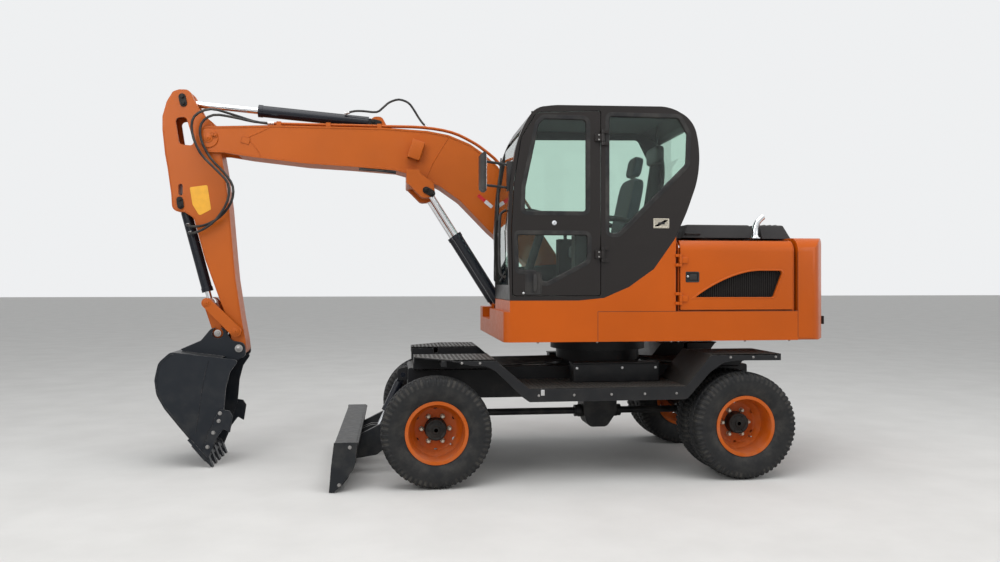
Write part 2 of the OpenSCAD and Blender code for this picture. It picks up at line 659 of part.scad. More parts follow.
// Door opening and door share an outline; grow is how far it reaches past the door
function door_line(grow) = [[900 + grow, cab_low + 40 - grow, 20], [908 + grow, 2003, 0], [889 + grow, 2360, 0],
    [832 + grow, 2710, 50], [712 + grow, 2905 + grow, 70], [door_rear - grow, 2930 + grow, 20],
    [door_rear - grow, cab_low + 40 - grow, 20]];
module cab() {
    color(dark) difference() {
        cab_volume(0);
        cab_volume(cab_wall);
        window_cuts();
        plate_xz(outline(door_line(door_gap)), house_half, 2 * cab_wall + cut);
    }
    color(dark) for (z = [door_hinge_low, door_hinge_high]) hinge_post(z);
}
door_hinge_low = 1800;
door_hinge_high = 2720;
hinge_x = 190;
hinge_out = 18;
// Pin of a door hinge, carried by a lug on the cab
module hinge_post(z) {
    translate([hinge_x, house_half + hinge_out, z - 60]) cylinder(h = 120, r = 8);
    translate([hinge_x - 50, house_half, z - 60]) cube([58, hinge_out, 26]);
    translate([hinge_x, house_half + hinge_out, z - 60]) cylinder(h = 26, r = 15);
    translate([hinge_x - 50, house_half, z + 34]) cube([58, hinge_out, 26]);
    translate([hinge_x, house_half + hinge_out, z + 34]) cylinder(h = 26, r = 15);
}
module cab_glass() {
    color(glass) intersection() {
        difference() {
            cab_volume(cab_wall / 2);
            cab_volume(cab_wall / 2 + glass_t);
        }
        window_cuts();
    }
}
// Windows of the door
module door_windows(t) {
    plate_xz(outline([[705, 2820, 50], [810, 2330, 20], [818, 2129, 30], [310, 2129, 30], [310, 2868, 40],
        [660, 2868, 40]]), house_half, t);
    plate_xz(outline([[872, 1961, 20], [300, 1961, 30], [300, 1749, 60], [660, 1560, 50], [727, 1668, 20],
        [862, 1668, 20]]), house_half, t);
}
module door() {
    color(dark) {
        difference() {
            plate_xz(outline(door_line(0)), house_half - cab_wall / 2, cab_wall);
            door_windows(3 * cab_wall);
        }
        for (z = [door_hinge_low, door_hinge_high]) difference() {
            union() {
                translate([hinge_x, house_half + hinge_out, z - 30]) cylinder(h = 60, r = 15);
                translate([hinge_x, house_half + hinge_out - 8, z - 30]) cube([60, 12, 60]);
                translate([door_rear + 10, house_half, z - 30]) cube([hinge_x + 50 - door_rear, hinge_out, 60]);
            }
            translate([hinge_x, house_half + hinge_out, z - 40]) cylinder(h = 80, r = 8 + fit);
        }
    }
}
module door_glass() {
    color(glass) intersection() {
        plate_xz(outline(door_line(0)), house_half - cab_wall / 2, glass_t);
        door_windows(3 * cab_wall);
    }
}

// Operator's seat on its base
seat_x = 60;
seat_y = 450;
module seat() {
    color(dark) {
        on_cab_floor() block([seat_x - 60, seat_y - 180, cab_low], [seat_x + 180, seat_y + 180, 1780]);
        block([seat_x - 220, seat_y - 240, 1780], [seat_x + 270, seat_y + 240, 1900]);
        translate([seat_x - 200, seat_y - 240, 1900]) rotate([0, -12, 0]) cube([110, 480, 560]);
        translate([seat_x - 320, seat_y - 130, 2465]) rotate([0, -12, 0]) cube([90, 260, 180]);
        for (s = [-1, 1]) translate([seat_x - 276, seat_y + s * 70, 2440]) rotate([0, -12, 0]) cylinder(h = 40, r = 7);
    }
}
// Cuts the feet of the cab's fittings to the floor that carries them
module on_cab_floor() {
    intersection() {
        union() children();
        cab_volume(cab_wall + fit);
    }
}
// Steering column: foot, length and tilt
column_x = 780;
column_l = 730;
column_tilt = 18;
// Side consoles with their levers, and the steering column
module console() {
    color(dark) {
        for (s = [-1, 1]) {
            on_cab_floor() block([seat_x - 120, seat_y + s * 320 - 60, cab_low],
                [seat_x + 330, seat_y + s * 320 + 60, 1960]);
            translate([seat_x + 260, seat_y + s * 320, 1960]) cylinder(h = 190, r = 16);
        }
        on_cab_floor() translate([column_x, seat_y, cab_low]) rotate([0, -column_tilt, 0])
            cylinder(h = column_l - 10, r = 35);
        translate([column_x, seat_y, cab_low]) rotate([0, -column_tilt, 0]) translate([0, 0, column_l]) {
            rotate_extrude() translate([170, 0]) circle(r = 14, $fn = 16);
            translate([0, 0, -22]) cylinder(h = 36, r = 48);
            for (a = [0, 120, 240]) rotate([0, 0, a]) translate([30, -12, -6]) cube([132, 24, 12]);
        }
    }
}

// Engine hood: a shell with an opening for the left hatch and one for the lid
hatch_low = belt_z + 12;
hatch_top = hood_z - 30;
lid_front = -560;
lid_rear = -1190;
lid_half = 640;
lid_h = 118;
hatch_gap = 6;
tank_front = 560;
tank_z = 1800;
module hood() {
    color(orange) {
        difference() {
            block([house_rear, -house_half, belt_z], [hood_front, house_half, hood_z]);
            block([house_rear + panel_t, -house_half + panel_t, belt_z - cut],
                [hood_front - panel_t, house_half - panel_t, hood_z - panel_t]);
            block([house_rear + 40, house_half - 2 * panel_t, hatch_low - hatch_gap],
                [hood_front - 30, house_half + cut, hatch_top + hatch_gap]);
            block([lid_rear + 40, -lid_half + 40, hood_z - 2 * panel_t], [lid_front - 40, lid_half - 40, hood_z + cut]);
        }
        tank_box();
        hatch_posts();
    }
}
// Tank and tool locker along the house's right side
module tank_box() {
    plan = outline([[hood_front, -house_half, 0], [tank_front, -house_half, 90], [tank_front, -600, 40],
        [140, -540, 40], [hood_front, -540, 0]]);
    translate([0, 0, belt_z]) linear_extrude(tank_z - belt_z) polygon(plan);
    block([hood_front, -540, belt_z], [40, cab_right - 20, tank_z - 60]);
}
// Hatch over the engine's left side, hinged at its front edge
hatch_hinge_x = hood_front - 33;
hatch_out = 14;
module side_hatch() {
    color(orange) {
        difference() {
            block([house_rear + 46, house_half - panel_t, hatch_low], [hood_front - 36, house_half, hatch_top]);
            translate([-560, house_half - 12, 1590]) cube([70, 20, 74]);
        }
        for (z = [hatch_low + 90, hatch_top - 90]) difference() {
            union() {
                translate([hatch_hinge_x, house_half + hatch_out, z - 25]) cylinder(h = 50, r = 12);
                translate([hatch_hinge_x - 60, house_half, z - 25]) cube([60, hatch_out, 50]);
            }
            translate([hatch_hinge_x, house_half + hatch_out, z - 30]) cylinder(h = 60, r = 6 + fit);
        }
    }
}
// Posts of the side hatch's hinges on the hood's edge
module hatch_posts() {
    for (z = [hatch_low + 90, hatch_top - 90]) {
        translate([hatch_hinge_x, house_half + hatch_out, z - 50]) cylinder(h = 100, r = 6);
        for (e = [-50, 26]) {
            translate([hatch_hinge_x, house_half + hatch_out, z + e]) cylinder(h = 24, r = 12);
            translate([hatch_hinge_x, house_half, z + e]) cube([40, hatch_out, 24]);
        }
    }
}
module counterweight() {
    color(orange) intersection() {
        translate([0, 0, skirt_low]) linear_extrude(hood_z - skirt_low) polygon(outline([[house_rear - fit, -house_half, 0],
            [-1560, -house_half, 120], [tail_x, -600, 380], [tail_x, 600, 380], [-1560, house_half, 120],
            [house_rear - fit, house_half, 0]]));
        plate_xz(outline([[house_rear - fit, skirt_low, 0], [tail_x, skirt_low, 30], [tail_x, 1700, 200],
            [-1690, hood_z, 150], [house_rear - fit, hood_z, 0]]), 0, 2 * house_half);
    }
}
// Engine as a plain block on the deck
module engine() {
    color(steel) block([-1320, -380, belt_z], [-560, 330, 1840]);
}
// Exhaust pipe that leaves the cowl behind the lid and bends rearwards
exhaust_x = -1320;
exhaust_y = 420;
module exhaust() {
    color(steel) {
        translate([exhaust_x, exhaust_y, hood_z]) cylinder(h = 110, r = 32);
        translate([exhaust_x - 90, exhaust_y, hood_z + 110]) rotate([90, 0, 0]) rotate_extrude(angle = 50) translate([90, 0]) circle(r = 32);
    }
}
// Mirror on its arm at the cab's front left corner
module mirror_arm() {
    color(dark) {
        hull() {
            translate([1130, 985, 2270]) cube([20, 150, 290]);
            translate([1150, 1000, 2290]) cube([26, 120, 250]);
        }
        for (z = [2320, 2500]) bar([935, 892, z], [1134, 1050, z], 10);
        difference() {
            block([860, 870, 2295], [945, 914, 2525]);
            cab_volume(0);
        }
    }
}
// Lid over the engine with chamfered ends
module engine_lid() {
    color(dark) {
        profile = [[lid_front, hood_z + fit], [lid_front - 50, hood_z + lid_h], [lid_rear + 40, hood_z + lid_h],
            [lid_rear, hood_z + fit]];
        plate_xz(profile, 0, 2 * lid_half);
    }
}

// Boom side outline, from its foot over the bend to the nose
boom_top_z = 2970;
boom_line = [[300, 1640, 90], [430, 1580, 90], [660, 1790, 0], [957, 2049, 60], [1225, 2323, 200], [1406, 2449, 120],
    [1606, 2535, 100], [1805, 2588, 60], [2198, 2615, 200], [2585, 2634, 200], [3082, 2687, 60], [3289, 2718, 60],
    [3470, 2720, 110], [3560, 2844, 110], [3470, 2950, 100], [3345, 2950, 60], [2873, boom_top_z, 400], [1884, boom_top_z, 300],
    [1516, 2950, 200], [1327, 2917, 160], [1135, 2841, 160], [1008, 2754, 100], [880, 2642, 60], [330, 1830, 160]];
fork_r = 288;
module boom() {
    color(orange) {
        difference() {
            plate_xz(outline(boom_line), arm_y, boom_w);
            bar_y(stick_pivot, arm_y, stick_w + 2 * side_gap, fork_r);
        }
        bar_y(boom_foot, arm_y, boom_w + 2 * (side_gap + ear_t), pin_r + 8);
        bar_y(stick_pivot, arm_y, boom_w + 24, pin_r);
        stick_cylinder_ears();
        boom_yoke();
    }
}
// Ears on the boom's top plate for the stick cylinder
stick_eye_w = 70;
module stick_cylinder_ears() {
    y = stick_eye_w / 2 + side_gap + ear_t / 2;
    arm_pair(y) difference() {
        plate_xz(outline([[stick_cyl_base.x - 120, boom_top_z - 20, 0],
            [stick_cyl_base.x - ear_r, stick_cyl_base.y + ear_r, 48],
            [stick_cyl_base.x + ear_r, stick_cyl_base.y + ear_r, 48],
            [stick_cyl_base.x + ear_r, boom_top_z - 20, 0]]), 0, ear_t);
        bar_y(stick_cyl_base, 0, ear_t + 2 * cut, cyl_pin_r + fit);
    }
}
// Cross beam under the boom with the ears of the boom cylinders' rod ends
yoke_x = 1640;
module boom_yoke() {
    half = boom_cyl_y + cyl_eye_w / 2 + side_gap + 20;
    beam = outline([[yoke_x - 50, 2450, 20], [yoke_x + 70, 2450, 20], [yoke_x + 70, 2580, 0], [yoke_x - 50, 2580, 0]]);
    plate_xz(beam, arm_y, 2 * half);
    gap = cyl_eye_w / 2 + side_gap + 10;
    arm_pair(boom_cyl_y) for (s = [-1, 1]) translate([0, s * gap, 0])
        plate_xz(outline([[boom_cyl_eye.x - 60, boom_cyl_eye.y - 50, 50], [boom_cyl_eye.x - 40, boom_cyl_eye.y + 70, 40],
            [yoke_x - 40, 2560, 20], [yoke_x + 60, 2560, 20], [yoke_x + 60, 2460, 20], [boom_cyl_eye.x + 60, boom_cyl_eye.y - 60, 50]]), 0, 20);
}
// Steel pipes along the boom's top plate with their clamps
pipe_r = 11;
pipe_y = [86, 118];
pipe_line = [[500, 0, 2150], [640, 0, 2360], [850, 0, 2662], [1000, 0, 2795], [1120, 0, 2872], [1300, 0, 2950],
    [1560, 0, 2988], [1900, 0, boom_top_z + 20], [2400, 0, boom_top_z + 20], [2900, 0, boom_top_z + 20]];
module boom_pipes() {
    color(orange) {
        for (y = pipe_y) translate([0, arm_y + y, 0]) swept(smooth(pipe_line, 3), pipe_r);
        for (x = [1950, 2400, 2830]) block([x - 20, arm_y + pipe_y[0] - 20, boom_top_z],
            [x + 20, arm_y + pipe_y[1] + 20, boom_top_z + 36]);
    }
}
module work_lamp() {
    color(orange) block([1560, arm_y + boom_w / 2, 2690], [1680, arm_y + boom_w / 2 + 70, 2850]);
}

boom_cyl_l = norm(boom_cyl_eye - boom_cyl_base);
boom_barrel_l = 785;
boom_tail = 478;
module boom_barrels() {
    color(navy) arm_pair(boom_cyl_y) {
        between(boom_cyl_base, boom_cyl_eye, 0) barrel(boom_barrel_l, boom_barrel_r, boom_barrel_r - barrel_wall, 48, cyl_eye_w, rod_r);
        bar_y(boom_cyl_base, 0, cyl_eye_w + 2 * (side_gap + 20), cyl_pin_r);
    }
}
module boom_rods() {
    color(steel) arm_pair(boom_cyl_y) between(boom_cyl_base, boom_cyl_eye, 0)
        rod(boom_tail, boom_cyl_l, rod_r, boom_barrel_r - barrel_wall, 45, cyl_eye_w);
}
stick_cyl_l = norm(stick_cyl_eye - stick_cyl_base);
stick_barrel_l = 1050;
stick_tail = 700;
module stick_barrel() {
    color(navy) {
        between(stick_cyl_base, stick_cyl_eye, arm_y) barrel(stick_barrel_l, stick_barrel_r, stick_barrel_r - barrel_wall, 46, stick_eye_w, rod_r + 5);
        bar_y(stick_cyl_base, arm_y, stick_eye_w + 2 * (side_gap + ear_t), cyl_pin_r);
    }
}
module stick_rod() {
    color(steel) between(stick_cyl_base, stick_cyl_eye, arm_y)
        rod(stick_tail, stick_cyl_l, rod_r + 5, stick_barrel_r - barrel_wall, 45, stick_eye_w);
}

// Stick side outline from the cylinder's ears down to the bucket pin
stick_line = [[3684, 3270, 60], [3735, 3250, 30], [3786, 3162, 60], [3822, 3032, 60], [3822, 2913, 100], [3800, 2700, 0],
    [3778, 2577, 0], [3748, 2352, 0], [3739, 2200, 60], [3640, 2200, 40], [3558, 2145, 60], [3462, 1781, 0],
    [3342, 1440, 100], [3258, 1230, 60], [3244, 1150, 0], [3236, 940, 60], [3104, 940, 60], [3120, 1083, 30], [3151, 1254, 0],
    [3203, 1603, 0], [3220, 1782, 0], [3259, 2246, 100], [3298, 2541, 0], [3335, 2760, 60], [3385, 2976, 60], [3501, 3072, 60], [3600, 3270, 50]];
module stick() {
    color(orange) {
        difference() {
            plate_xz(outline(stick_line), arm_y, stick_w);
            bar_y(stick_pivot, arm_y, stick_w + 2 * cut, pin_r + fit);
            // Throat between the ears of the stick cylinder
            block([3300, arm_y - stick_eye_w / 2 - side_gap, 3040], [3950, arm_y + stick_eye_w / 2 + side_gap, 3400]);
            // Throat between the ears of the bucket cylinder
            plate_xz(outline([[3575, 2100, 0], [3575, 2360, 40], [3830, 2360, 0], [3830, 2100, 0]]), arm_y,
                bucket_eye_w + 2 * side_gap);
            tube_room = bucket_barrel_r + 9;
            between(bucket_cyl_base, rocker_end, arm_y)
                translate([-tube_room, -tube_room, tube_start - 8]) cube([2 * tube_room, 2 * tube_room, 400]);
            bar_y(bucket_cyl_base, arm_y, stick_w + 2 * cut, cyl_pin_r + fit);
            bar_y(rocker_pivot, arm_y, stick_w + 2 * cut, 24 + fit);
            bar_y(bucket_pin, arm_y, stick_w + 2 * cut, 26 + fit);
            // Windows in the side plates
            stick_slots(30);
        }
    }
}
module stick_slots(depth) {
    for (s = [-1, 1]) translate([0, arm_y + s * (stick_w / 2), 0]) plate_xz(outline([[3550, 2780, 30], [3680, 2790, 40], [3715, 3020, 36], [3625, 3030, 36]]), 0, depth);
}
bucket_eye_w = 60;
bucket_cyl_l = norm(rocker_end - bucket_cyl_base);
bucket_barrel_l = 800;
bucket_tail = 180;
module bucket_barrel() {
    color(navy) {
        between(bucket_cyl_base, rocker_end, arm_y) barrel(bucket_barrel_l, bucket_barrel_r, bucket_barrel_r - barrel_wall, 46, bucket_eye_w, rod_r);
        bar_y(bucket_cyl_base, arm_y, stick_w + 16, cyl_pin_r);
    }
}
module bucket_rod() {
    color(steel) between(bucket_cyl_base, rocker_end, arm_y)
        rod(bucket_tail, bucket_cyl_l, rod_r, bucket_barrel_r - barrel_wall, 42, bucket_eye_w);
}
// Rocker plates on both sides of the stick with their pins
module rocker() {
    color(orange) {
        inner = stick_w / 2 + ear_t + 2 * side_gap;
        arm_pair(inner + ear_t / 2) hull_link(rocker_pivot, rocker_end, 48, 44, ear_t);
        bar_y(rocker_pivot, arm_y, 2 * (inner + ear_t + 6), 24);
        arm_pair((stick_w / 2 + fit + inner) / 2) bar_y(rocker_pivot, 0, inner - stick_w / 2 - fit, 38);
        pin_in = bucket_eye_w / 2 + side_gap + 10;
        arm_pair((pin_in + inner + ear_t) / 2) bar_y(rocker_end, 0, inner + ear_t - pin_in, cyl_pin_r);
        arm_pair((stick_w / 2 + inner) / 2) bar_y(rocker_end, 0, inner - stick_w / 2, 34);
    }
}
// A flat link between two round ends
module hull_link(p, q, r1, r2, t) {
    bar_y(p, 0, t, r1);
    bar_y(q, 0, t, r2);
    d = (q - p) / norm(q - p);
    n = [-d.y, d.x];
    plate_xz([p + n * r1, q + n * r2, q - n * r2, p - n * r1], 0, t);
}
// Link between the rocker and the bucket: forked above, solid below
module link() {
    color(orange) {
        half = stick_w / 2 - 3;
        inner = bucket_eye_w / 2 + side_gap;
        arm_pair((half + inner) / 2) difference() {
            hull_link(rocker_end, link_pin, 40, 42, half - inner);
            bar_y(rocker_end, 0, half - inner + 2 * cut, cyl_pin_r + fit);
        }
        bar_y(link_pin, arm_y, 2 * half, 42);
        bar_y(link_pin, arm_y, stick_w + 2 * (side_gap + ear_t), cyl_pin_r);
    }
}

// Play of the link's pin in the bucket's ears, where the linkage is opened
drift_gap = 26;
// Bucket: a curved shell between side plates, with its ears, lip and teeth
bucket_back = [[3700, 990, 60], [3799, 900, 100], [3831, 756, 120], [3815, 628, 160], [3750, 509, 160], [3637, 362, 200],
    [3547, 250, 0], [3425, 105, 0]];
bucket_mouth = [[3395, 75, 0], [3330, 250, 120], [3262, 480, 120], [3245, 680, 100], [3212, 810, 60], [3140, 915, 20]];
bucket_wall = 18;
module bucket() {
    color(dark) {
        difference() {
            plate_xz(outline(concat(bucket_mouth, bucket_back_up())), arm_y, bucket_w);
            plate_xz(outline(bucket_inside()), arm_y, bucket_w - 2 * bucket_wall);
        }
        bucket_ears();
        bucket_teeth();
    }
}
function bucket_back_up() = [for (i = [0:len(bucket_back) - 1]) bucket_back[i]];
// Inner outline: the back moved inwards, closed through the mouth
function bucket_inside() = let (all = concat(bucket_mouth, bucket_back), k = len(bucket_mouth), inner = inset(all, bucket_wall))
    concat([for (i = [0:k - 1]) [all[i][0] - 70, all[i][1] - (i == 0 ? 60 : 0), all[i][2]]], [for (i = [k:len(all) - 1]) inner[i]]);
module bucket_ears() {
    y = stick_w / 2 + side_gap + ear_t / 2;
    arm_pair(y) difference() {
        plate_xz(outline([[3110, 940, 40], [3120, 1050, 50], [3230, 1070, 60], [3300, 1180, 60], [3400, 1185, 60],
            [3490, 1075, 40], [3660, 1000, 0], [3600, 940, 0], [3180, 900, 0]]), 0, ear_t);
        bar_y(link_pin, 0, ear_t + 2 * cut, cyl_pin_r + drift_gap);
    }
    bar_y(bucket_pin, arm_y, stick_w + 2 * (side_gap + ear_t) + 16, 26);
}
tooth_z = 5;
module bucket_teeth() {
    lip = plate_lip();
    plate_xz(lip, arm_y, bucket_w + 10);
    for (i = [0:tooth_count - 1]) {
        y = arm_y + (i / (tooth_count - 1) - 0.5) * (bucket_w - 60);
        plate_xz([[3352, tooth_z], [3366, tooth_z], [3470, 120], [3440, 150], [3400, 130]], y, 54);
    }
}
function plate_lip() = [[3395, 75], [3412, 62], [3560, 240], [3540, 256], [3425, 120]];

// Flexible hoses from the boom's pipes to the bucket cylinder, chosen by hand
hose_r = 11;
hose_a = [[2901, -222, 2990], [3050, -215, 3000], [3220, -190, 3030], [3380, -165, 3040], [3480, -160, 2960],
    [3480, -158, 2820], [3400, -158, 2660], [3290, -158, 2540], [3215, -160, 2420], [3230, -165, 2280],
    [3330, -175, 2150], [3460, -185, 2080], [3570, -200, 2070], [3618, -235, 2085], [3622, -292, 2090]];
hose_b = [[2901, -254, 2990], [3050, -250, 3010], [3230, -220, 3060], [3400, -160, 3090], [3530, -132, 3020],
    [3550, -128, 2880], [3480, -128, 2700], [3350, -128, 2560], [3250, -130, 2440], [3255, -135, 2290],
    [3350, -145, 2130], [3470, -160, 2040], [3560, -185, 2010], [3598, -230, 2015], [3602, -290, 2020]];
module hoses() {
    color(rubber) {
        swept(smooth(hose_a, 3), hose_r);
        swept(smooth(hose_b, 3), hose_r);
    }
}

frame();
fenders();
drivetrain();
axles();
knuckle_left();
knuckle_right();
tie_rod();
front_tyre(true);  // tyre_fl
front_rim(true);  // rim_fl
front_tyre(false);  // tyre_fr
front_rim(false);  // rim_fr
rear_tyres(true);  // tyres_rl
rear_rims(true);  // rims_rl
rear_tyres(false);  // tyres_rr
rear_rims(false);  // rims_rr
blade();
blade_barrel();
blade_rod();
slew_ring();
deck();
cab();
cab_glass();
seat();
console();
hood();
counterweight();
engine();
exhaust();
mirror_arm();  // mirror
door();
door_glass();
side_hatch();
engine_lid();
boom();
boom_pipes();
work_lamp();
boom_barrels();
boom_rods();
stick();
stick_barrel();
stick_rod();
rocker();
link();
bucket();
bucket_barrel();
bucket_rod();
hoses();
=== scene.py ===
"""Looks of the wheeled excavator: finishes, soft parts, trim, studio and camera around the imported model."""
import json
import logging
import math
from dataclasses import dataclass, field
from enum import Enum

import bpy
import numpy as np
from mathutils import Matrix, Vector

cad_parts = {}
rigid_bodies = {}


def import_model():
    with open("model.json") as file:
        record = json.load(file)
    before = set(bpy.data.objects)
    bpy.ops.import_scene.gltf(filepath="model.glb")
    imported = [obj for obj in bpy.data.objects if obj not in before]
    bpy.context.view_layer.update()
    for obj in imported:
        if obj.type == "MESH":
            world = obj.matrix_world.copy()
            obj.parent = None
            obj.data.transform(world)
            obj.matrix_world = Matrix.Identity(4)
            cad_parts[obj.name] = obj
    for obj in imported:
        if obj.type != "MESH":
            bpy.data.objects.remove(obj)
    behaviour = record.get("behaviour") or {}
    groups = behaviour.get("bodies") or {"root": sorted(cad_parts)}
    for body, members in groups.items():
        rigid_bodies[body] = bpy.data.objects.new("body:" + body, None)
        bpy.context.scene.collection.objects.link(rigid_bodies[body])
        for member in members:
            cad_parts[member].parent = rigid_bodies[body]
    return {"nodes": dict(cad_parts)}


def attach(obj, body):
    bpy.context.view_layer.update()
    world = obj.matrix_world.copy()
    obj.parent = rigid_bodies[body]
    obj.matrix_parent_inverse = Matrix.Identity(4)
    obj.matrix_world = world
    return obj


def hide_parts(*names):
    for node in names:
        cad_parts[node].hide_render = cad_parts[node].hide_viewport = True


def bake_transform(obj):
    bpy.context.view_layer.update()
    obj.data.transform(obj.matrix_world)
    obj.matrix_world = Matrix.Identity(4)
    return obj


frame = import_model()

logging.basicConfig(level=logging.INFO, format="%(message)s")
log = logging.getLogger("scene")

Array = np.ndarray
Colour = tuple[float, float, float]
Node = bpy.types.Node
Socket = bpy.types.NodeSocket
Object = bpy.types.Object

# Smallest distance at which two vertices stay apart when a surface is welded, in metres
WELD = 2e-6
# Steps of a full turn on small round pieces and on large ones
SMALL_TURN = 16
LARGE_TURN = 48


class Side(Enum):
    """Side of the machine, as the sign of its Y coordinate."""

    LEFT = 1
    RIGHT = -1


class Wear(Enum):
    """How much a painted surface has been used."""

    NEW = 0.0
    USED = 0.45
    WORN = 1.0


class Mesh:
    """A mesh held as arrays, with its place in its vertices."""

    def __init__(self, points: Array, faces: list[Array]) -> None:
        """Keeps the arrays.

        Args:
            points: vertices as rows of x, y, z in metres.
            faces: arrays of vertex numbers, one array for each number of corners.
        """
        self.points = np.asarray(points, float)
        self.faces = faces

    @staticmethod
    def joined(parts: list["Mesh"]) -> "Mesh":
        """Puts several meshes into one.

        Args:
            parts: the meshes.

        Returns:
            One mesh with the vertices of all of them.
        """
        points: list[Array] = []
        faces: dict[int, list[Array]] = {}
        start = 0
        for part in parts:
            points.append(part.points)
            for block in part.faces:
                faces.setdefault(block.shape[1], []).append(block + start)
            start += len(part.points)
        return Mesh(np.vstack(points), [np.vstack(group) for group in faces.values()])

    def moved(self, matrix: Array, shift: Array) -> "Mesh":
        """A copy turned by a matrix, whose columns are the new axes, and then shifted."""
        return Mesh(self.points @ np.asarray(matrix, float).T + shift, self.faces)

    def welded(self) -> "Mesh":
        """A copy whose coincident vertices are one, without the faces that this folds up."""
        keys = np.round(self.points / WELD).astype(np.int64)
        _, first, inverse = np.unique(keys, axis=0, return_index=True, return_inverse=True)
        inverse = inverse.ravel()
        faces: dict[int, list[Array]] = {}
        for block in self.faces:
            block = inverse[block]
            if block.shape[1] > 4:
                faces.setdefault(block.shape[1], []).append(block)
                continue
            same = block == np.roll(block, -1, axis=1)
            whole = ~same.any(axis=1)
            if whole.any():
                faces.setdefault(block.shape[1], []).append(block[whole])
            if block.shape[1] == 4:
                folded = block[same.sum(axis=1) == 1]
                drop = same[same.sum(axis=1) == 1].argmax(axis=1)
                keep = np.ones(folded.shape, bool)
                keep[np.arange(len(folded)), drop] = False
                if len(folded):
                    faces.setdefault(3, []).append(folded[keep].reshape(-1, 3))
        return Mesh(self.points[first], [np.vstack(group) for group in faces.values()])

    def outward(self) -> "Mesh":
        """A copy of a closed mesh whose faces point outwards: its enclosed volume is positive."""
        volume = 0.0
        for block in self.faces:
            a = self.points[block[:, 0]]
            for k in range(1, block.shape[1] - 1):
                volume += np.einsum("ij,ij->", a,
                                    np.cross(self.points[block[:, k]], self.points[block[:, k + 1]]))
        if volume < 0:
            return Mesh(self.points, [block[:, ::-1] for block in self.faces])
        return self

    def data(self, name: str) -> bpy.types.Mesh:
        """A Blender mesh with these vertices and faces."""
        mesh = bpy.data.meshes.new(name)
        loops = np.concatenate([block.ravel() for block in self.faces]).astype(np.int32)
        sizes = np.concatenate([np.full(len(block), block.shape[1], np.int32) for block in self.faces])
        starts = np.concatenate([[0], np.cumsum(sizes)[:-1]]).astype(np.int32)
        mesh.vertices.add(len(self.points))
        mesh.vertices.foreach_set("co", self.points.astype(np.float32).ravel())
        mesh.loops.add(len(loops))
        mesh.loops.foreach_set("vertex_index", loops)
        mesh.polygons.add(len(sizes))
        mesh.polygons.foreach_set("loop_start", starts)
        mesh.update(calc_edges=True)
        mesh.validate()
        return mesh

    @staticmethod
    def read(mesh: bpy.types.Mesh) -> "Mesh":
        """The arrays of a Blender mesh, its faces grouped by their number of corners."""
        points = np.empty(len(mesh.vertices) * 3, np.float32)
        mesh.vertices.foreach_get("co", points)
        loops = np.empty(len(mesh.loops), np.int32)
        mesh.loops.foreach_get("vertex_index", loops)
        starts, sizes = np.empty(len(mesh.polygons), np.int32), np.empty(len(mesh.polygons), np.int32)
        mesh.polygons.foreach_get("loop_start", starts)
        mesh.polygons.foreach_get("loop_total", sizes)
        faces = [loops[starts[sizes == n][:, None] + np.arange(n)] for n in np.unique(sizes)]
        return Mesh(points.reshape(-1, 3), faces)

    def build(self, name: str, material: bpy.types.Material, smooth_angle: float = 40.0) -> Object:
        """Makes a Blender object of the mesh.

        Args:
            name: the object's name.
            material: its finish.
            smooth_angle: edges sharper than this many degrees stay sharp.

        Returns:
            The object, at the origin, with its place in its mesh.
        """
        mesh = self.data(name)
        piece = bpy.data.objects.new(name, mesh)
        bpy.context.scene.collection.objects.link(piece)
        mesh.materials.append(material)
        mesh.shade_smooth()
        mesh.set_sharp_from_angle(angle=math.radians(smooth_angle))
        return piece


def grid_faces(rows: int, columns: int, close_rows: bool, close_columns: bool) -> Array:
    """Quads of a grid of points, numbered row by row.

    Args:
        rows: how many rows the grid has.
        columns: how many columns it has.
        close_rows: whether the last row joins the first.
        close_columns: whether the last column joins the first.

    Returns:
        An array of four vertex numbers a face.
    """
    i = np.arange(rows if close_rows else rows - 1)[:, None]
    j = np.arange(columns if close_columns else columns - 1)[None, :]
    i1, j1 = (i + 1) % rows, (j + 1) % columns
    corners = [i * columns + j, i1 * columns + j, i1 * columns + j1, i * columns + j1]
    return np.stack(np.broadcast_arrays(*corners), axis=-1).reshape(-1, 4)


def surface(points: Array, close_rows: bool = False, close_columns: bool = False) -> Mesh:
    """A surface through a grid of points, its rows running along one parameter and its columns along the
    other."""
    rows, columns = points.shape[:2]
    mesh = Mesh(points.reshape(-1, 3), [grid_faces(rows, columns, close_rows, close_columns)])
    return mesh.welded().outward()


def turned(profile: Array, centre: Array, axis: Array, steps: int = LARGE_TURN, phase: float = 0.0) -> Mesh:
    """A surface of revolution: each profile point (r, h) goes round the axis as centre + h*axis + r*(cos t*u
    + sin t*w).

    Args:
        profile: rows of radius and height along the axis, from one pole or edge to the other.
        centre: a point on the axis.
        axis: the axis' direction.
        steps: points in a full turn.
        phase: the first point's angle in radians.

    Returns:
        The closed surface; a profile that doesn't start and end on the axis is closed on itself.
    """
    profile = np.asarray(profile, float)
    d = np.asarray(axis, float) / np.linalg.norm(axis)
    u, w = across(d)
    t = phase + np.linspace(0, 2 * math.pi, steps, endpoint=False)
    ring = np.cos(t)[:, None] * u + np.sin(t)[:, None] * w
    points = np.asarray(centre) + profile[None, :, 1, None] * d + profile[None, :, 0, None] * ring[:, None, :]
    on_axis = abs(profile[0, 0]) < WELD and abs(profile[-1, 0]) < WELD
    return surface(points, close_rows=True, close_columns=not on_axis)


def across(d: Array) -> tuple[Array, Array]:
    """Two unit vectors at right angles to a direction and to each other."""
    aid = np.array([0.0, 0.0, 1.0]) if abs(d[2]) < 0.9 else np.array([1.0, 0.0, 0.0])
    u = np.cross(aid, d)
    u /= np.linalg.norm(u)
    return u, np.cross(d, u)


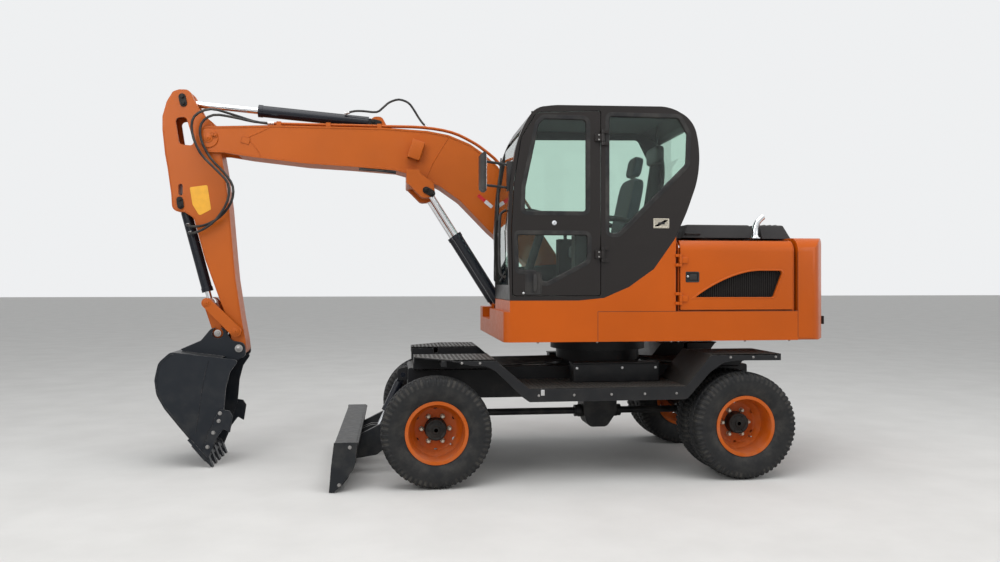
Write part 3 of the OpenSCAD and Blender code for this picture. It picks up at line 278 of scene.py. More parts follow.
def smooth_path(knots: Array, steps: int) -> Array:
    """A Catmull-Rom curve through the knots: each span is a cubic whose slopes at its ends are half the
    chords beside it.

    Args:
        knots: rows of x, y, z.
        steps: points on each span.

    Returns:
        The curve's points.
    """
    p = np.asarray(knots, float)
    before, after = np.vstack([p[:1], p[:-2]]), np.vstack([p[2:], p[-1:]])
    a, b, c, d = before[:, None], p[:-1, None], p[1:, None], after[:, None]
    t = (np.arange(steps) / steps)[None, :, None]
    curve = 0.5 * (2 * b + (c - a) * t + (2 * a - 5 * b + 4 * c - d) * t**2 + (3 * b - a - 3 * c + d) * t**3)
    return np.vstack([curve.reshape(-1, 3), p[-1:]])


def tube(path: Array, radius: float | Array, sides: int = 12, closed: bool = False) -> Mesh:
    """A round tube: ring i lies at path[i] + radius[i]*(cos t*u + sin t*w), with u and w carried along
    without twist.

    Args:
        path: rows of x, y, z.
        radius: one radius, or one for each point.
        sides: points in a ring.
        closed: whether the path joins its own start.

    Returns:
        The tube, with closed ends.
    """
    path = np.asarray(path, float)
    radius = np.broadcast_to(np.asarray(radius, float), len(path))
    if closed:
        slope = np.roll(path, -1, axis=0) - np.roll(path, 1, axis=0)
    else:
        slope = np.gradient(path, axis=0)
    slope /= np.linalg.norm(slope, axis=1, keepdims=True)
    u = np.empty_like(path)
    u[0] = across(slope[0])[0]
    for i in range(1, len(path)):
        side = u[i - 1] - slope[i] * (u[i - 1] @ slope[i])
        u[i] = side / np.linalg.norm(side)
    w = np.cross(slope, u)
    if closed:
        # The twist left over after one lap is spread over the whole path
        end = u[-1] - slope[0] * (u[-1] @ slope[0])
        twist = math.atan2(end @ w[0], end @ u[0])
        turn = -twist * np.arange(len(path)) / len(path)
        u, w = (np.cos(turn)[:, None] * u + np.sin(turn)[:, None] * w,
                np.cos(turn)[:, None] * w - np.sin(turn)[:, None] * u)
    t = np.linspace(0, 2 * math.pi, sides, endpoint=False)
    ring = np.cos(t)[None, :, None] * u[:, None] + np.sin(t)[None, :, None] * w[:, None]
    points = path[:, None] + radius[:, None, None] * ring
    if not closed:
        points = np.concatenate([np.repeat(path[:1, None], sides, axis=1), points,
                                 np.repeat(path[-1:, None], sides, axis=1)])
    return surface(points, close_rows=closed, close_columns=True)


def rounded_outline(corners: list[tuple[float, float, float]], steps: int = 6) -> Array:
    """A closed outline with round corners: at each corner an arc of its radius, tangent to both sides.

    Args:
        corners: rows of x, z and corner radius.
        steps: spans in an arc.

    Returns:
        Rows of x, z.
    """
    c = np.asarray(corners, float)
    points = []
    for before, here, after in zip(np.roll(c, 1, axis=0), c, np.roll(c, -1, axis=0)):
        b = here[:2]
        u, v = before[:2] - b, after[:2] - b
        u, v = u / np.linalg.norm(u), v / np.linalg.norm(v)
        half = math.acos(float(np.clip(u @ v, -1, 1))) / 2
        if here[2] <= 0 or half > 1.56:
            points.append(b[None])
            continue
        reach = here[2] / math.tan(half)
        middle = b + (u + v) / np.linalg.norm(u + v) * here[2] / math.sin(half)
        start, end = b + u * reach - middle, b + v * reach - middle
        sweep = math.atan2(start[0] * end[1] - start[1] * end[0], start @ end)
        t = sweep * np.linspace(0, 1, steps + 1)
        turn = np.stack([start[0] * np.cos(t) - start[1] * np.sin(t), start[0] * np.sin(t) + start[1]
                         * np.cos(t)], 1)
        points.append(middle + turn)
    return np.vstack(points)


def inset(outline: Array, distance: float | Array) -> Array:
    """An outline moved inwards along the mean of the normals of its two neighbouring sides."""
    side = np.roll(outline, -1, axis=0) - outline
    side /= np.linalg.norm(side, axis=1, keepdims=True)
    normal = np.stack([-side[:, 1], side[:, 0]], 1)
    mean = normal + np.roll(normal, 1, axis=0)
    mean /= 1 + (normal * np.roll(normal, 1, axis=0)).sum(axis=1, keepdims=True)
    area = np.cross(outline, np.roll(outline, -1, axis=0)).sum()
    return outline + mean * math.copysign(1, area) * np.asarray(distance)


def plate(outline: Array, origin: Array, u: Array, w: Array, depth: float, edge: float,
          steps: int = 3) -> Mesh:
    """A plate with rounded edges: ring k is the outline moved in by edge*(1-sin a) and out of the plane by
    edge*(1-cos a).

    Args:
        outline: rows of x, z in the plate's own plane.
        origin: where the plane's origin lies.
        u: direction of the outline's first coordinate.
        w: direction of its second coordinate.
        depth: thickness from the plane along u x w.
        edge: radius of the rounded edges.
        steps: spans of each rounded edge.

    Returns:
        The closed plate.
    """
    u, w = np.asarray(u, float), np.asarray(w, float)
    n = np.cross(u, w)
    a = np.linspace(0, math.pi / 2, steps + 1)
    ins = edge * (1 - np.sin(a))
    out = edge * (1 - np.cos(a))
    levels = [(ins[k], out[k]) for k in range(steps + 1)]
    levels += [(ins[k], depth - out[k]) for k in range(steps, -1, -1)]
    rings = np.array([[*_plane(inset(outline, d), u, w) + h * n] for d, h in levels]) + np.asarray(origin)
    count = len(outline)
    mesh = Mesh(rings.reshape(-1, 3), [grid_faces(len(levels), count, False, True)])
    last = (len(levels) - 1) * count
    # Known defect: the two caps wind against the sides, so a carving done with a plate can lose a rim
    mesh.faces += [np.arange(count)[None, ::-1], last + np.arange(count)[None, :]]
    return mesh.outward()


def _plane(outline: Array, u: Array, w: Array) -> Array:
    """Points of an outline laid in the plane of u and w."""
    return outline[:, :1] * u + outline[:, 1:] * w


def block(low: Array, high: Array, edge: float, upright: float | None = None) -> Mesh:
    """A block with rounded edges, as a plate whose outline is a rounded rectangle.

    Args:
        low: lowest corner.
        high: highest corner.
        edge: radius of the edges of its top and bottom.
        upright: radius of its upright edges, the same as edge if it isn't given.

    Returns:
        The closed block.
    """
    low, high = np.asarray(low, float), np.asarray(high, float)
    r = upright if upright is not None else edge
    x0, y0, x1, y1 = low[0], low[1], high[0], high[1]
    outline = rounded_outline([(x0, y0, r), (x1, y0, r), (x1, y1, r), (x0, y1, r)])
    return plate(outline, np.array([0, 0, low[2]]), np.array([1, 0, 0]), np.array([0, 1, 0]),
                 high[2] - low[2], edge)


def repeated(part: Mesh, places: Array, axes: Array | None = None) -> Mesh:
    """Copies of a small mesh at many places in one array operation.

    Args:
        part: the mesh, built about the origin.
        places: rows of x, y, z.
        axes: for each place a 3 by 3 matrix whose columns are its axes, or None to leave the copies unturned.

    Returns:
        All copies as one mesh.
    """
    places = np.atleast_2d(places)
    if axes is None:
        axes = np.broadcast_to(np.eye(3), (len(places), 3, 3))
    points = np.einsum("nij,vj->nvi", axes, part.points) + places[:, None]
    shift = np.arange(len(places))[:, None, None] * len(part.points)
    return Mesh(points.reshape(-1, 3), [(block_[None] + shift).reshape(-1, block_.shape[1])
                                        for block_ in part.faces])


def hex_bolt(across_flats: float, washer: bool = True) -> Mesh:
    """A hexagon bolt head along +Z on its washer: two surfaces of revolution, the head's with six steps."""
    r = across_flats / 2 / math.cos(math.pi / 6)
    h = across_flats * 0.65
    head = turned(np.array([(0, 0), (r, 0), (r, h * 0.85), (r * 0.86, h), (0, h)]), np.zeros(3),
                  np.array([0, 0, 1.0]), 6)
    if not washer:
        return head
    rim = r * 1.35
    disc = turned(np.array([(0, 0), (rim, 0), (rim, h * 0.2), (0, h * 0.2)]), np.zeros(3),
                  np.array([0, 0, 1.0]), 14)
    return Mesh.joined([disc, head])


def axes_along(direction: Array) -> Array:
    """A 3 by 3 matrix whose third column is the direction."""
    d = np.asarray(direction, float) / np.linalg.norm(direction)
    u, w = across(d)
    return np.stack([u, w, d], axis=1)


def along(axis: str, outline: Array, start: float, end: float, edge: float = 0.0) -> Mesh:
    """A prism with rounded edges along one of the machine's axes.

    Args:
        axis: "x", "y" or "z". Its outline's rows are then y, z or x, z or x, y.
        outline: the closed outline.
        start: the lower end along the axis.
        end: the higher end.
        edge: radius of the rounded edges at both ends.

    Returns:
        The closed prism.
    """
    x, y, z = np.eye(3)
    u, w, flip = {"x": (y, z, False), "y": (z, x, True), "z": (x, y, False)}[axis]
    flat = outline[:, ::-1] if flip else outline
    return plate(flat, np.cross(u, w) * start, u, w, end - start, edge, 3 if edge > 0 else 0)


def box(low: Array, high: Array) -> Mesh:
    """A block with sharp edges, for cutting."""
    (x0, y0, z0), (x1, y1, z1) = low, high
    return along("z", np.array([(x0, y0), (x1, y0), (x1, y1), (x0, y1)], float), z0, z1)


def carved(solid: Mesh, *tools: Mesh, operation: str = "DIFFERENCE") -> Mesh:
    """One closed mesh after exact boolean steps with others.

    Args:
        solid: the mesh that is cut, added to or kept.
        tools: the closed meshes that cut it, join it or bound it, in order.
        operation: DIFFERENCE, UNION or INTERSECT.

    Returns:
        The resulting mesh.
    """
    scene = bpy.context.scene.collection.objects
    work = bpy.data.objects.new("carving", solid.data("carving"))
    scene.link(work)
    cutters = []
    for tool in tools:
        cutter = bpy.data.objects.new("cutter", tool.data("cutter"))
        scene.link(cutter)
        cutters.append(cutter)
        step = work.modifiers.new("carve", "BOOLEAN")
        step.operation, step.solver, step.object = operation, "EXACT", cutter
    view = bpy.context.evaluated_depsgraph_get()
    result = bpy.data.meshes.new_from_object(work.evaluated_get(view))
    mesh = Mesh.read(result)
    for used in (work, *cutters):
        data = used.data
        bpy.data.objects.remove(used)
        bpy.data.meshes.remove(data)
    bpy.data.meshes.remove(result)
    return mesh


def carried_round(outline: Array, profile: Array, y: float, side: Side = Side.LEFT) -> Mesh:
    """A profile carried round an outline in the XZ plane: ring k is the outline moved in by d_k, at y + h_k.

    Args:
        outline: rows of x, z.
        profile: rows of inset d and height h over the plane, closed on itself.
        y: distance of the plane from the machine's middle plane.
        side: the side of the machine on which it lies.

    Returns:
        The closed ring.
    """
    rings = [np.insert(inset(outline, d), 1, side.value * (y + h), axis=1) for d, h in profile]
    return surface(np.array(rings), close_rows=True, close_columns=True)


def side_plate(outline: Array, y: float, depth: float, edge: float, side: Side = Side.LEFT) -> Mesh:
    """A plate whose outline lies in the XZ plane at y and whose thickness grows away from the machine's
    middle."""
    flat = plate(outline[:, ::-1], np.zeros(3), np.array([0, 0, 1.0]), np.array([1.0, 0, 0]), depth, edge)
    return flat.moved(np.diag([1.0, side.value, 1.0]), np.array([0, side.value * y, 0])).outward()


def pillow(size: tuple[float, float, float], centre: Array, square: float = 0.32, rows: int = 28,
           columns: int = 44) -> Mesh:
    """A crowned closed form: x = a*c(u)*c(v), y = b*s(u)*c(v), z = h*s(v), each cosine and sine raised to a
    small power.

    Args:
        size: full length, width and height.
        centre: its middle.
        square: power of the sines and cosines; a smaller one gives a squarer form.
        rows: points from pole to pole.
        columns: points in a full turn.

    Returns:
        The form.
    """
    v = np.linspace(-math.pi / 2, math.pi / 2, rows)[:, None]
    u = np.linspace(0, 2 * math.pi, columns, endpoint=False)[None, :]

    def power(value: Array) -> Array:
        """A signed value raised to the form's power."""
        return np.sign(value) * np.abs(value) ** square

    # The poles of a squarer form stay open by a few micrometres
    half = np.asarray(size) / 2
    points = np.stack([half[0] * power(np.cos(u)) * power(np.cos(v)),
                       half[1] * power(np.sin(u)) * power(np.cos(v)),
                       half[2] * power(np.sin(v)) * np.ones_like(u)], axis=-1)
    return surface(points + centre, close_columns=True)


def tilted(mesh: Mesh, degrees: float, about: Array) -> Mesh:
    """A copy turned about the Y axis through a point; a positive angle leans its top forwards."""
    a = math.radians(degrees)
    turn = np.array([[math.cos(a), 0, math.sin(a)], [0, 1, 0], [-math.sin(a), 0, math.cos(a)]])
    return Mesh((mesh.points - about) @ turn.T + about, mesh.faces)


def capsule(length: float, width: float, middle: tuple[float, float], lean_deg: float,
            steps: int = 8) -> Array:
    """Outline of a long plate with two half round ends, about its middle, its long axis leaning from
    upright."""
    r, half = width / 2, length / 2 - width / 2
    t = np.linspace(0, math.pi, steps + 1)
    top = np.stack([r * np.cos(t), half + r * np.sin(t)], 1)
    outline = np.vstack([top, -top])
    a = math.radians(lean_deg)
    turn = np.array([[math.cos(a), math.sin(a)], [-math.sin(a), math.cos(a)]])
    return outline @ turn.T + np.asarray(middle)


class Graph:
    """The node tree of one material, with short calls for the nodes that the finishes share."""

    def __init__(self, name: str) -> None:
        """Starts a material whose output is one principled shader."""
        self.material = bpy.data.materials.new(name)
        self.material.use_nodes = True
        self.tree = self.material.node_tree
        self.shader = self.tree.nodes["Principled BSDF"]
        self.place = self.add("ShaderNodeTexCoord").outputs["Object"]

    def add(self, kind: str, **settings: object) -> Node:
        """Adds a node and gives it its settings."""
        node = self.tree.nodes.new(kind)
        for key, value in settings.items():
            setattr(node, key, value)
        return node

    def put(self, target: Socket, value: Socket | float | tuple) -> None:
        """Links a socket to another, or gives it a plain value."""
        if isinstance(value, bpy.types.NodeSocket):
            self.tree.links.new(value, target)
        elif isinstance(value, tuple) and len(value) == 3 and target.type == "RGBA":
            target.default_value = (*value, 1.0)
        else:
            target.default_value = value

    def noise(self, scale: float, detail: float = 4.0, roughness: float = 0.55,
              stretch: Colour | None = None) -> Socket:
        """Noise from 0 to 1 on the object's own coordinates.

        Args:
            scale: features a metre.
            detail: octaves.
            roughness: weight of the finer octaves.
            stretch: scale along each axis, or None for the same scale on all.

        Returns:
            The noise's value.
        """
        node = self.add("ShaderNodeTexNoise")
        node.inputs["Scale"].default_value = scale
        node.inputs["Detail"].default_value = detail
        node.inputs["Roughness"].default_value = roughness
        place = self.place
        if stretch is not None:
            mapping = self.add("ShaderNodeMapping")
            mapping.inputs["Scale"].default_value = stretch
            self.put(mapping.inputs["Vector"], self.place)
            place = mapping.outputs["Vector"]
        self.put(node.inputs["Vector"], place)
        return node.outputs["Fac"]

    def ramp(self, value: Socket, low: float, high: float, out_low: float = 0.0,
             out_high: float = 1.0) -> Socket:
        """Maps a value's span from low to high smoothly onto another span, and clamps it there."""
        node = self.add("ShaderNodeMapRange", interpolation_type="SMOOTHSTEP")
        self.put(node.inputs["Value"], value)
        for key, number in (("From Min", low), ("From Max", high), ("To Min", out_low), ("To Max", out_high)):
            node.inputs[key].default_value = number
        return node.outputs["Result"]

    def maths(self, operation: str, a: Socket | float, b: Socket | float = 0.0) -> Socket:
        """The result of one operation on two values."""
        node = self.add("ShaderNodeMath", operation=operation)
        self.put(node.inputs[0], a)
        self.put(node.inputs[1], b)
        return node.outputs[0]

    def blend(self, factor: Socket | float, a: Socket | Colour, b: Socket | Colour) -> Socket:
        """The mix of two colours."""
        node = self.add("ShaderNodeMix", data_type="RGBA", clamp_factor=True)
        self.put(node.inputs["Factor"], factor)
        self.put(node.inputs[6], a)
        self.put(node.inputs[7], b)
        return node.outputs[2]

    def height(self) -> Socket:
        """Height above the ground at rest, in metres."""
        node = self.add("ShaderNodeSeparateXYZ")
        self.put(node.inputs[0], self.place)
        return node.outputs["Z"]

    def facing_up(self) -> Socket:
        """How much the surface looks upwards, from 0 to 1."""
        node = self.add("ShaderNodeSeparateXYZ")
        self.put(node.inputs[0], self.add("ShaderNodeNewGeometry").outputs["Normal"])
        return self.ramp(node.outputs["Z"], 0.35, 0.95)

    def round_edges(self, radius: float) -> tuple[Socket, Socket]:
        """The normal of softly rounded edges, and how close a point lies to an edge.

        Args:
            radius: how far the rounding reaches from the edge, in metres.

        Returns:
            The normal and a mask from 0 to 1.
        """
        node = self.add("ShaderNodeBevel", samples=4)
        node.inputs["Radius"].default_value = radius
        dot = self.add("ShaderNodeVectorMath", operation="DOT_PRODUCT")
        self.put(dot.inputs[0], node.outputs["Normal"])
        self.put(dot.inputs[1], self.add("ShaderNodeNewGeometry").outputs["Normal"])
        return node.outputs["Normal"], self.ramp(dot.outputs["Value"], 0.995, 0.9)

    def bump(self, height: Socket, distance: float, normal: Socket | None = None,
             strength: float = 1.0) -> Socket:
        """A normal tilted by a height map."""
        node = self.add("ShaderNodeBump")
        node.inputs["Strength"].default_value = strength
        node.inputs["Distance"].default_value = distance
        self.put(node.inputs["Height"], height)
        if normal is not None:
            self.put(node.inputs["Normal"], normal)
        return node.outputs["Normal"]


@dataclass(frozen=True)
class Finish:
    """A surface finish: its name, the colour of its ground coat and its gloss."""

    name: str
    slot: str
    colour: Colour
    roughness: float = 0.4

    def material(self) -> bpy.types.Material:
        """Builds the material the first time it is asked for, and gives the same one again later."""
        found = bpy.data.materials.get(self.name)
        return found if found is not None else self.dress(Graph(self.name))

    def dress(self, graph: Graph) -> bpy.types.Material:
        """Fills a node tree. Each kind of finish has its own."""
        raise NotImplementedError


# Pale road dust, as it lies on the machine
DUST: Colour = (0.36, 0.33, 0.28)


@dataclass(frozen=True)
class Paint(Finish):
    """Enamel on steel, with dust where it settles, bare metal on worn edges and a faint orange peel."""

    dust: float = 0.25
    splash: float = 0.0
    wear: Wear = Wear.NEW
    under: Colour = (0.20, 0.19, 0.18)
    coat: float = 0.0
    edge: float = 0.004
    peel: float = 0.00004
    shine: float = 0.22

    def dress(self, graph: Graph) -> bpy.types.Material:
        """Fills the node tree.

        Args:
            graph: the empty tree.

        Returns:
            The material.
        """
        shader = graph.shader
        shader.inputs["Coat Weight"].default_value = self.coat
        shader.inputs["Coat Roughness"].default_value = 0.12
        shader.inputs["Specular IOR Level"].default_value = self.shine
        broad, fine = graph.noise(1.3, 3.0), graph.noise(23.0, 6.0, 0.65)
        tone = tuple(c * 0.86 for c in self.colour)
        colour = graph.blend(graph.ramp(broad, 0.25, 0.75), tone, self.colour)
        normal, rim = graph.round_edges(self.edge)
        settled = graph.maths("MULTIPLY", graph.facing_up(), graph.ramp(fine, 0.25, 0.8, 0.35, 1.0))
        thrown = graph.maths("MULTIPLY", graph.ramp(graph.height(), 1.15, 0.15),
                             graph.ramp(graph.noise(7.0, 5.0), 0.38, 0.75))
        dirt = graph.maths("ADD", graph.maths("MULTIPLY", settled, self.dust),
                           graph.maths("MULTIPLY", thrown, self.splash))
        dirt = graph.maths("ADD", dirt, graph.ramp(graph.noise(3.1, 8.0, 0.7), 0.52, 0.8, 0.0,
                                                   0.10 * (self.dust + self.splash)))
        if self.wear is not Wear.NEW:
            flakes = graph.ramp(graph.noise(31.0, 5.0, 0.7), 0.42, 0.6, 0.0, self.wear.value)
            chips = graph.maths("MULTIPLY", rim, flakes)
            colour = graph.blend(chips, colour, self.under)
        colour = graph.blend(dirt, colour, DUST)
        graph.put(shader.inputs["Base Color"], colour)
        rough = graph.ramp(fine, 0.3, 0.7, self.roughness - 0.04, self.roughness + 0.06)
        graph.put(shader.inputs["Roughness"], graph.maths("ADD", rough, graph.maths("MULTIPLY", dirt, 0.5)))
        graph.put(shader.inputs["Normal"], graph.bump(graph.noise(420.0, 2.0), self.peel, normal))
        return graph.material


@dataclass(frozen=True)
class Metal(Finish):
    """Bare or plated steel, with fine marks along its length."""

    stretch: Colour = (1.0, 1.0, 1.0)
    marks: float = 0.06
    tarnish: float = 0.0

    def dress(self, graph: Graph) -> bpy.types.Material:
        """Fills the node tree and returns the material."""
        shader = graph.shader
        shader.inputs["Metallic"].default_value = 1.0
        streak = graph.noise(160.0, 3.0, 0.6, self.stretch)
        dull = graph.ramp(graph.noise(6.0, 5.0, 0.6), 0.4, 0.75, 0.0, self.tarnish)
        dark = tuple(c * 0.45 for c in self.colour)
        graph.put(shader.inputs["Base Color"], graph.blend(dull, self.colour, dark))
        rough = graph.ramp(streak, 0.3, 0.7, self.roughness, self.roughness + self.marks)
        graph.put(shader.inputs["Roughness"], graph.maths("ADD", rough, graph.maths("MULTIPLY", dull, 0.4)))
        normal, _ = graph.round_edges(0.0015)
        graph.put(shader.inputs["Normal"], graph.bump(streak, 0.00003, normal))
        return graph.material


@dataclass(frozen=True)
class Rubber(Finish):
    """Black rubber or moulded plastic with a fine grain, greyed by dust in its hollows."""

    grain: float = 300.0
    depth: float = 0.0002
    dust: float = 0.2
    hollows: bool = False

    def dress(self, graph: Graph) -> bpy.types.Material:
        """Fills the node tree and returns the material."""
        shader = graph.shader
        shader.inputs["Specular IOR Level"].default_value = 0.25
        cloud = graph.ramp(graph.noise(9.0, 6.0, 0.65), 0.35, 0.75)
        dirt = graph.maths("MULTIPLY", cloud, self.dust)
        if self.hollows:
            grime = graph.add("ShaderNodeAttribute", attribute_name="grime").outputs["Fac"]
            dirt = graph.maths("ADD", graph.maths("MULTIPLY", dirt, 0.5),
                               graph.maths("MULTIPLY", graph.maths("MULTIPLY", grime, 0.16), cloud))
        graph.put(shader.inputs["Base Color"], graph.blend(dirt, self.colour, DUST))
        dull = graph.maths("MULTIPLY", dirt, 0.4)
        graph.put(shader.inputs["Roughness"], graph.maths("ADD", dull, self.roughness))
        graph.put(shader.inputs["Normal"], graph.bump(graph.noise(self.grain, 3.0), self.depth))
        return graph.material


@dataclass(frozen=True)
class Cloth(Finish):
    """Woven seat cloth: two crossed sets of ribs as bump, with sheen."""

    pitch: float = 0.0035

    def dress(self, graph: Graph) -> bpy.types.Material:
        """Fills the node tree and returns the material."""
        shader = graph.shader
        shader.inputs["Sheen Weight"].default_value = 0.35
        shader.inputs["Sheen Roughness"].default_value = 0.5
        ribs = []
        for direction in ("X", "Y", "Z"):
            wave = graph.add("ShaderNodeTexWave", wave_type="BANDS", bands_direction=direction)
            wave.inputs["Scale"].default_value = 1 / self.pitch / 3
            wave.inputs["Distortion"].default_value = 0.6
            graph.put(wave.inputs["Vector"], graph.place)
            ribs.append(wave.outputs["Fac"])
        weave = graph.maths("ADD", graph.maths("ADD", ribs[0], ribs[1]), ribs[2])
        worn = graph.ramp(graph.noise(8.0, 5.0), 0.3, 0.75)
        light = tuple(min(1.0, c * 1.7) for c in self.colour)
        graph.put(shader.inputs["Base Color"], graph.blend(worn, self.colour, light))
        shader.inputs["Roughness"].default_value = self.roughness
        graph.put(shader.inputs["Normal"], graph.bump(weave, 0.0004))
        return graph.material


@dataclass(frozen=True)
class Pane(Finish):
    """Tinted safety glass with a thin film of dust."""

    def dress(self, graph: Graph) -> bpy.types.Material:
        """Fills the node tree and returns the material."""
        shader = graph.shader
        shader.inputs["Transmission Weight"].default_value = 1.0
        shader.inputs["IOR"].default_value = 1.35
        film = graph.ramp(graph.noise(5.0, 6.0, 0.7), 0.45, 0.8, 0.0, 0.05)
        graph.put(shader.inputs["Base Color"], graph.blend(film, self.colour, DUST))
        graph.put(shader.inputs["Roughness"], graph.maths("ADD", film, self.roughness))
        return graph.material


@dataclass(frozen=True)
class Plain(Finish):
    """Small plastic, enamel and reflective pieces: one colour with slight clouding."""

    metallic: float = 0.0
    clouding: float = 0.12

    def dress(self, graph: Graph) -> bpy.types.Material:
        """Fills the node tree and returns the material."""
        shader = graph.shader
        shader.inputs["Metallic"].default_value = self.metallic
        tone = tuple(c * (1 - self.clouding) for c in self.colour)
        clouds = graph.ramp(graph.noise(14.0), 0.3, 0.7)
        graph.put(shader.inputs["Base Color"], graph.blend(clouds, tone, self.colour))
        gloss = graph.ramp(graph.noise(40.0), 0.3, 0.7, self.roughness, self.roughness + 0.08)
        graph.put(shader.inputs["Roughness"], gloss)
        graph.put(shader.inputs["Normal"], graph.bump(graph.noise(350.0), 0.00003))
        return graph.material


# Finishes of the machine
BODY_ORANGE = Paint("body_orange", "orange_paint", (0.50, 0.088, 0.0012), 0.36, dust=0.02, splash=0.03,
                    coat=0.10)
ARM_ORANGE = Paint("arm_orange", "orange_paint", (0.47, 0.100, 0.008), 0.40, dust=0.07, splash=0.06,
                   coat=0.06)
RIM_ORANGE = Paint("rim_orange", "rim_paint", (0.50, 0.096, 0.006), 0.42, dust=0.12, splash=0.12, edge=0.003)
CHASSIS_BLACK = Paint("chassis_black", "chassis_paint", (0.010, 0.0105, 0.012), 0.44, dust=0.10, splash=0.10,
                      wear=Wear.USED)
STEP_BLACK = Paint("step_black", "chassis_paint", (0.013, 0.0135, 0.015), 0.40, dust=0.20, splash=0.04,
                   wear=Wear.USED)
BLADE_BLACK = Paint("blade_black", "chassis_paint", (0.013, 0.015, 0.018), 0.42, dust=0.08, splash=0.07,
                    wear=Wear.WORN)
BUCKET_BLACK = Paint("bucket_black", "bucket_steel", (0.012, 0.015, 0.020), 0.40, dust=0.08, splash=0.05,
                     wear=Wear.WORN)
CAB_BROWN = Paint("cab_brown", "cab_paint", (0.017, 0.014, 0.013), 0.34, dust=0.06, coat=0.15)
LID_BLACK = Paint("lid_black", "cab_paint", (0.026, 0.025, 0.026), 0.46, dust=0.14, peel=0.00008)
# Black of the vent's tray and louvres, and of the painted shade and soot in the exhaust pipe's end
VENT_AND_SHADE_BLACK = Plain("vent_and_shade_black", "cab_paint", (0.012, 0.009, 0.008), 0.60)
BARREL_NAVY = Paint("barrel_navy", "cylinder_paint", (0.009, 0.011, 0.017), 0.24, dust=0.06, coat=0.3)
CHROME = Metal("chrome", "chrome", (0.80, 0.81, 0.83), 0.08, marks=0.05)
BRIGHT_STEEL = Metal("bright_steel", "bare_steel", (0.60, 0.60, 0.60), 0.28, tarnish=0.4)
DULL_STEEL = Metal("dull_steel", "bare_steel", (0.34, 0.33, 0.32), 0.42, tarnish=0.6)
TYRE_BLACK = Rubber("tyre_black", "tyre_rubber", (0.0115, 0.012, 0.013), 0.66, dust=0.05, hollows=True)
# Black of the rubber seals, and of the painted shade in the lock's keyway and the latch plate's slot
SEAL_AND_SHADE_BLACK = Rubber("seal_and_shade_black", "hose_rubber", (0.014, 0.014, 0.015), 0.55, dust=0.08)
HOSE_BLACK = Rubber("hose_black", "hose_rubber", (0.016, 0.016, 0.017), 0.45, grain=600.0, dust=0.15)
PLASTIC_BLACK = Rubber("plastic_black", "cab_paint", (0.022, 0.022, 0.023), 0.42, grain=900.0,
                       depth=0.00006, dust=0.08)
WINDOW = Pane("window", "tinted_glass", (0.70, 0.84, 0.77), 0.01)
SEAT_CLOTH = Cloth("seat_cloth", "seat_fabric", (0.035, 0.045, 0.055), 0.85)
PLATE_YELLOW = Plain("plate_yellow", "orange_paint", (0.80, 0.38, 0.01), 0.35)
REFLECTOR_RED = Plain("reflector_red", "orange_paint", (0.50, 0.015, 0.02), 0.25)
REFLECTOR_WHITE = Plain("reflector_white", "bare_steel", (0.62, 0.62, 0.64), 0.25)
LENS_CLEAR = Plain("lens_clear", "tinted_glass", (0.55, 0.57, 0.58), 0.12, metallic=0.6)
LENS_RED = Plain("lens_red", "orange_paint", (0.42, 0.01, 0.01), 0.15)
HUB_BLACK = Paint("hub_black", "chassis_paint", (0.010, 0.009, 0.008), 0.42, dust=0.10, splash=0.06,
                  edge=0.002)
NUT_STEEL = Metal("nut_steel", "bare_steel", (0.50, 0.46, 0.38), 0.30, tarnish=0.5)
LINING_GREY = Rubber("lining_grey", "cab_paint", (0.115, 0.135, 0.145), 0.80, grain=500.0, depth=0.0003,
                     dust=0.05)
SCREEN_BLACK = Plain("screen_black", "tinted_glass", (0.010, 0.012, 0.014), 0.08)
MIRROR_SILVER = Metal("mirror_silver", "chrome", (0.82, 0.84, 0.86), 0.02, marks=0.01)


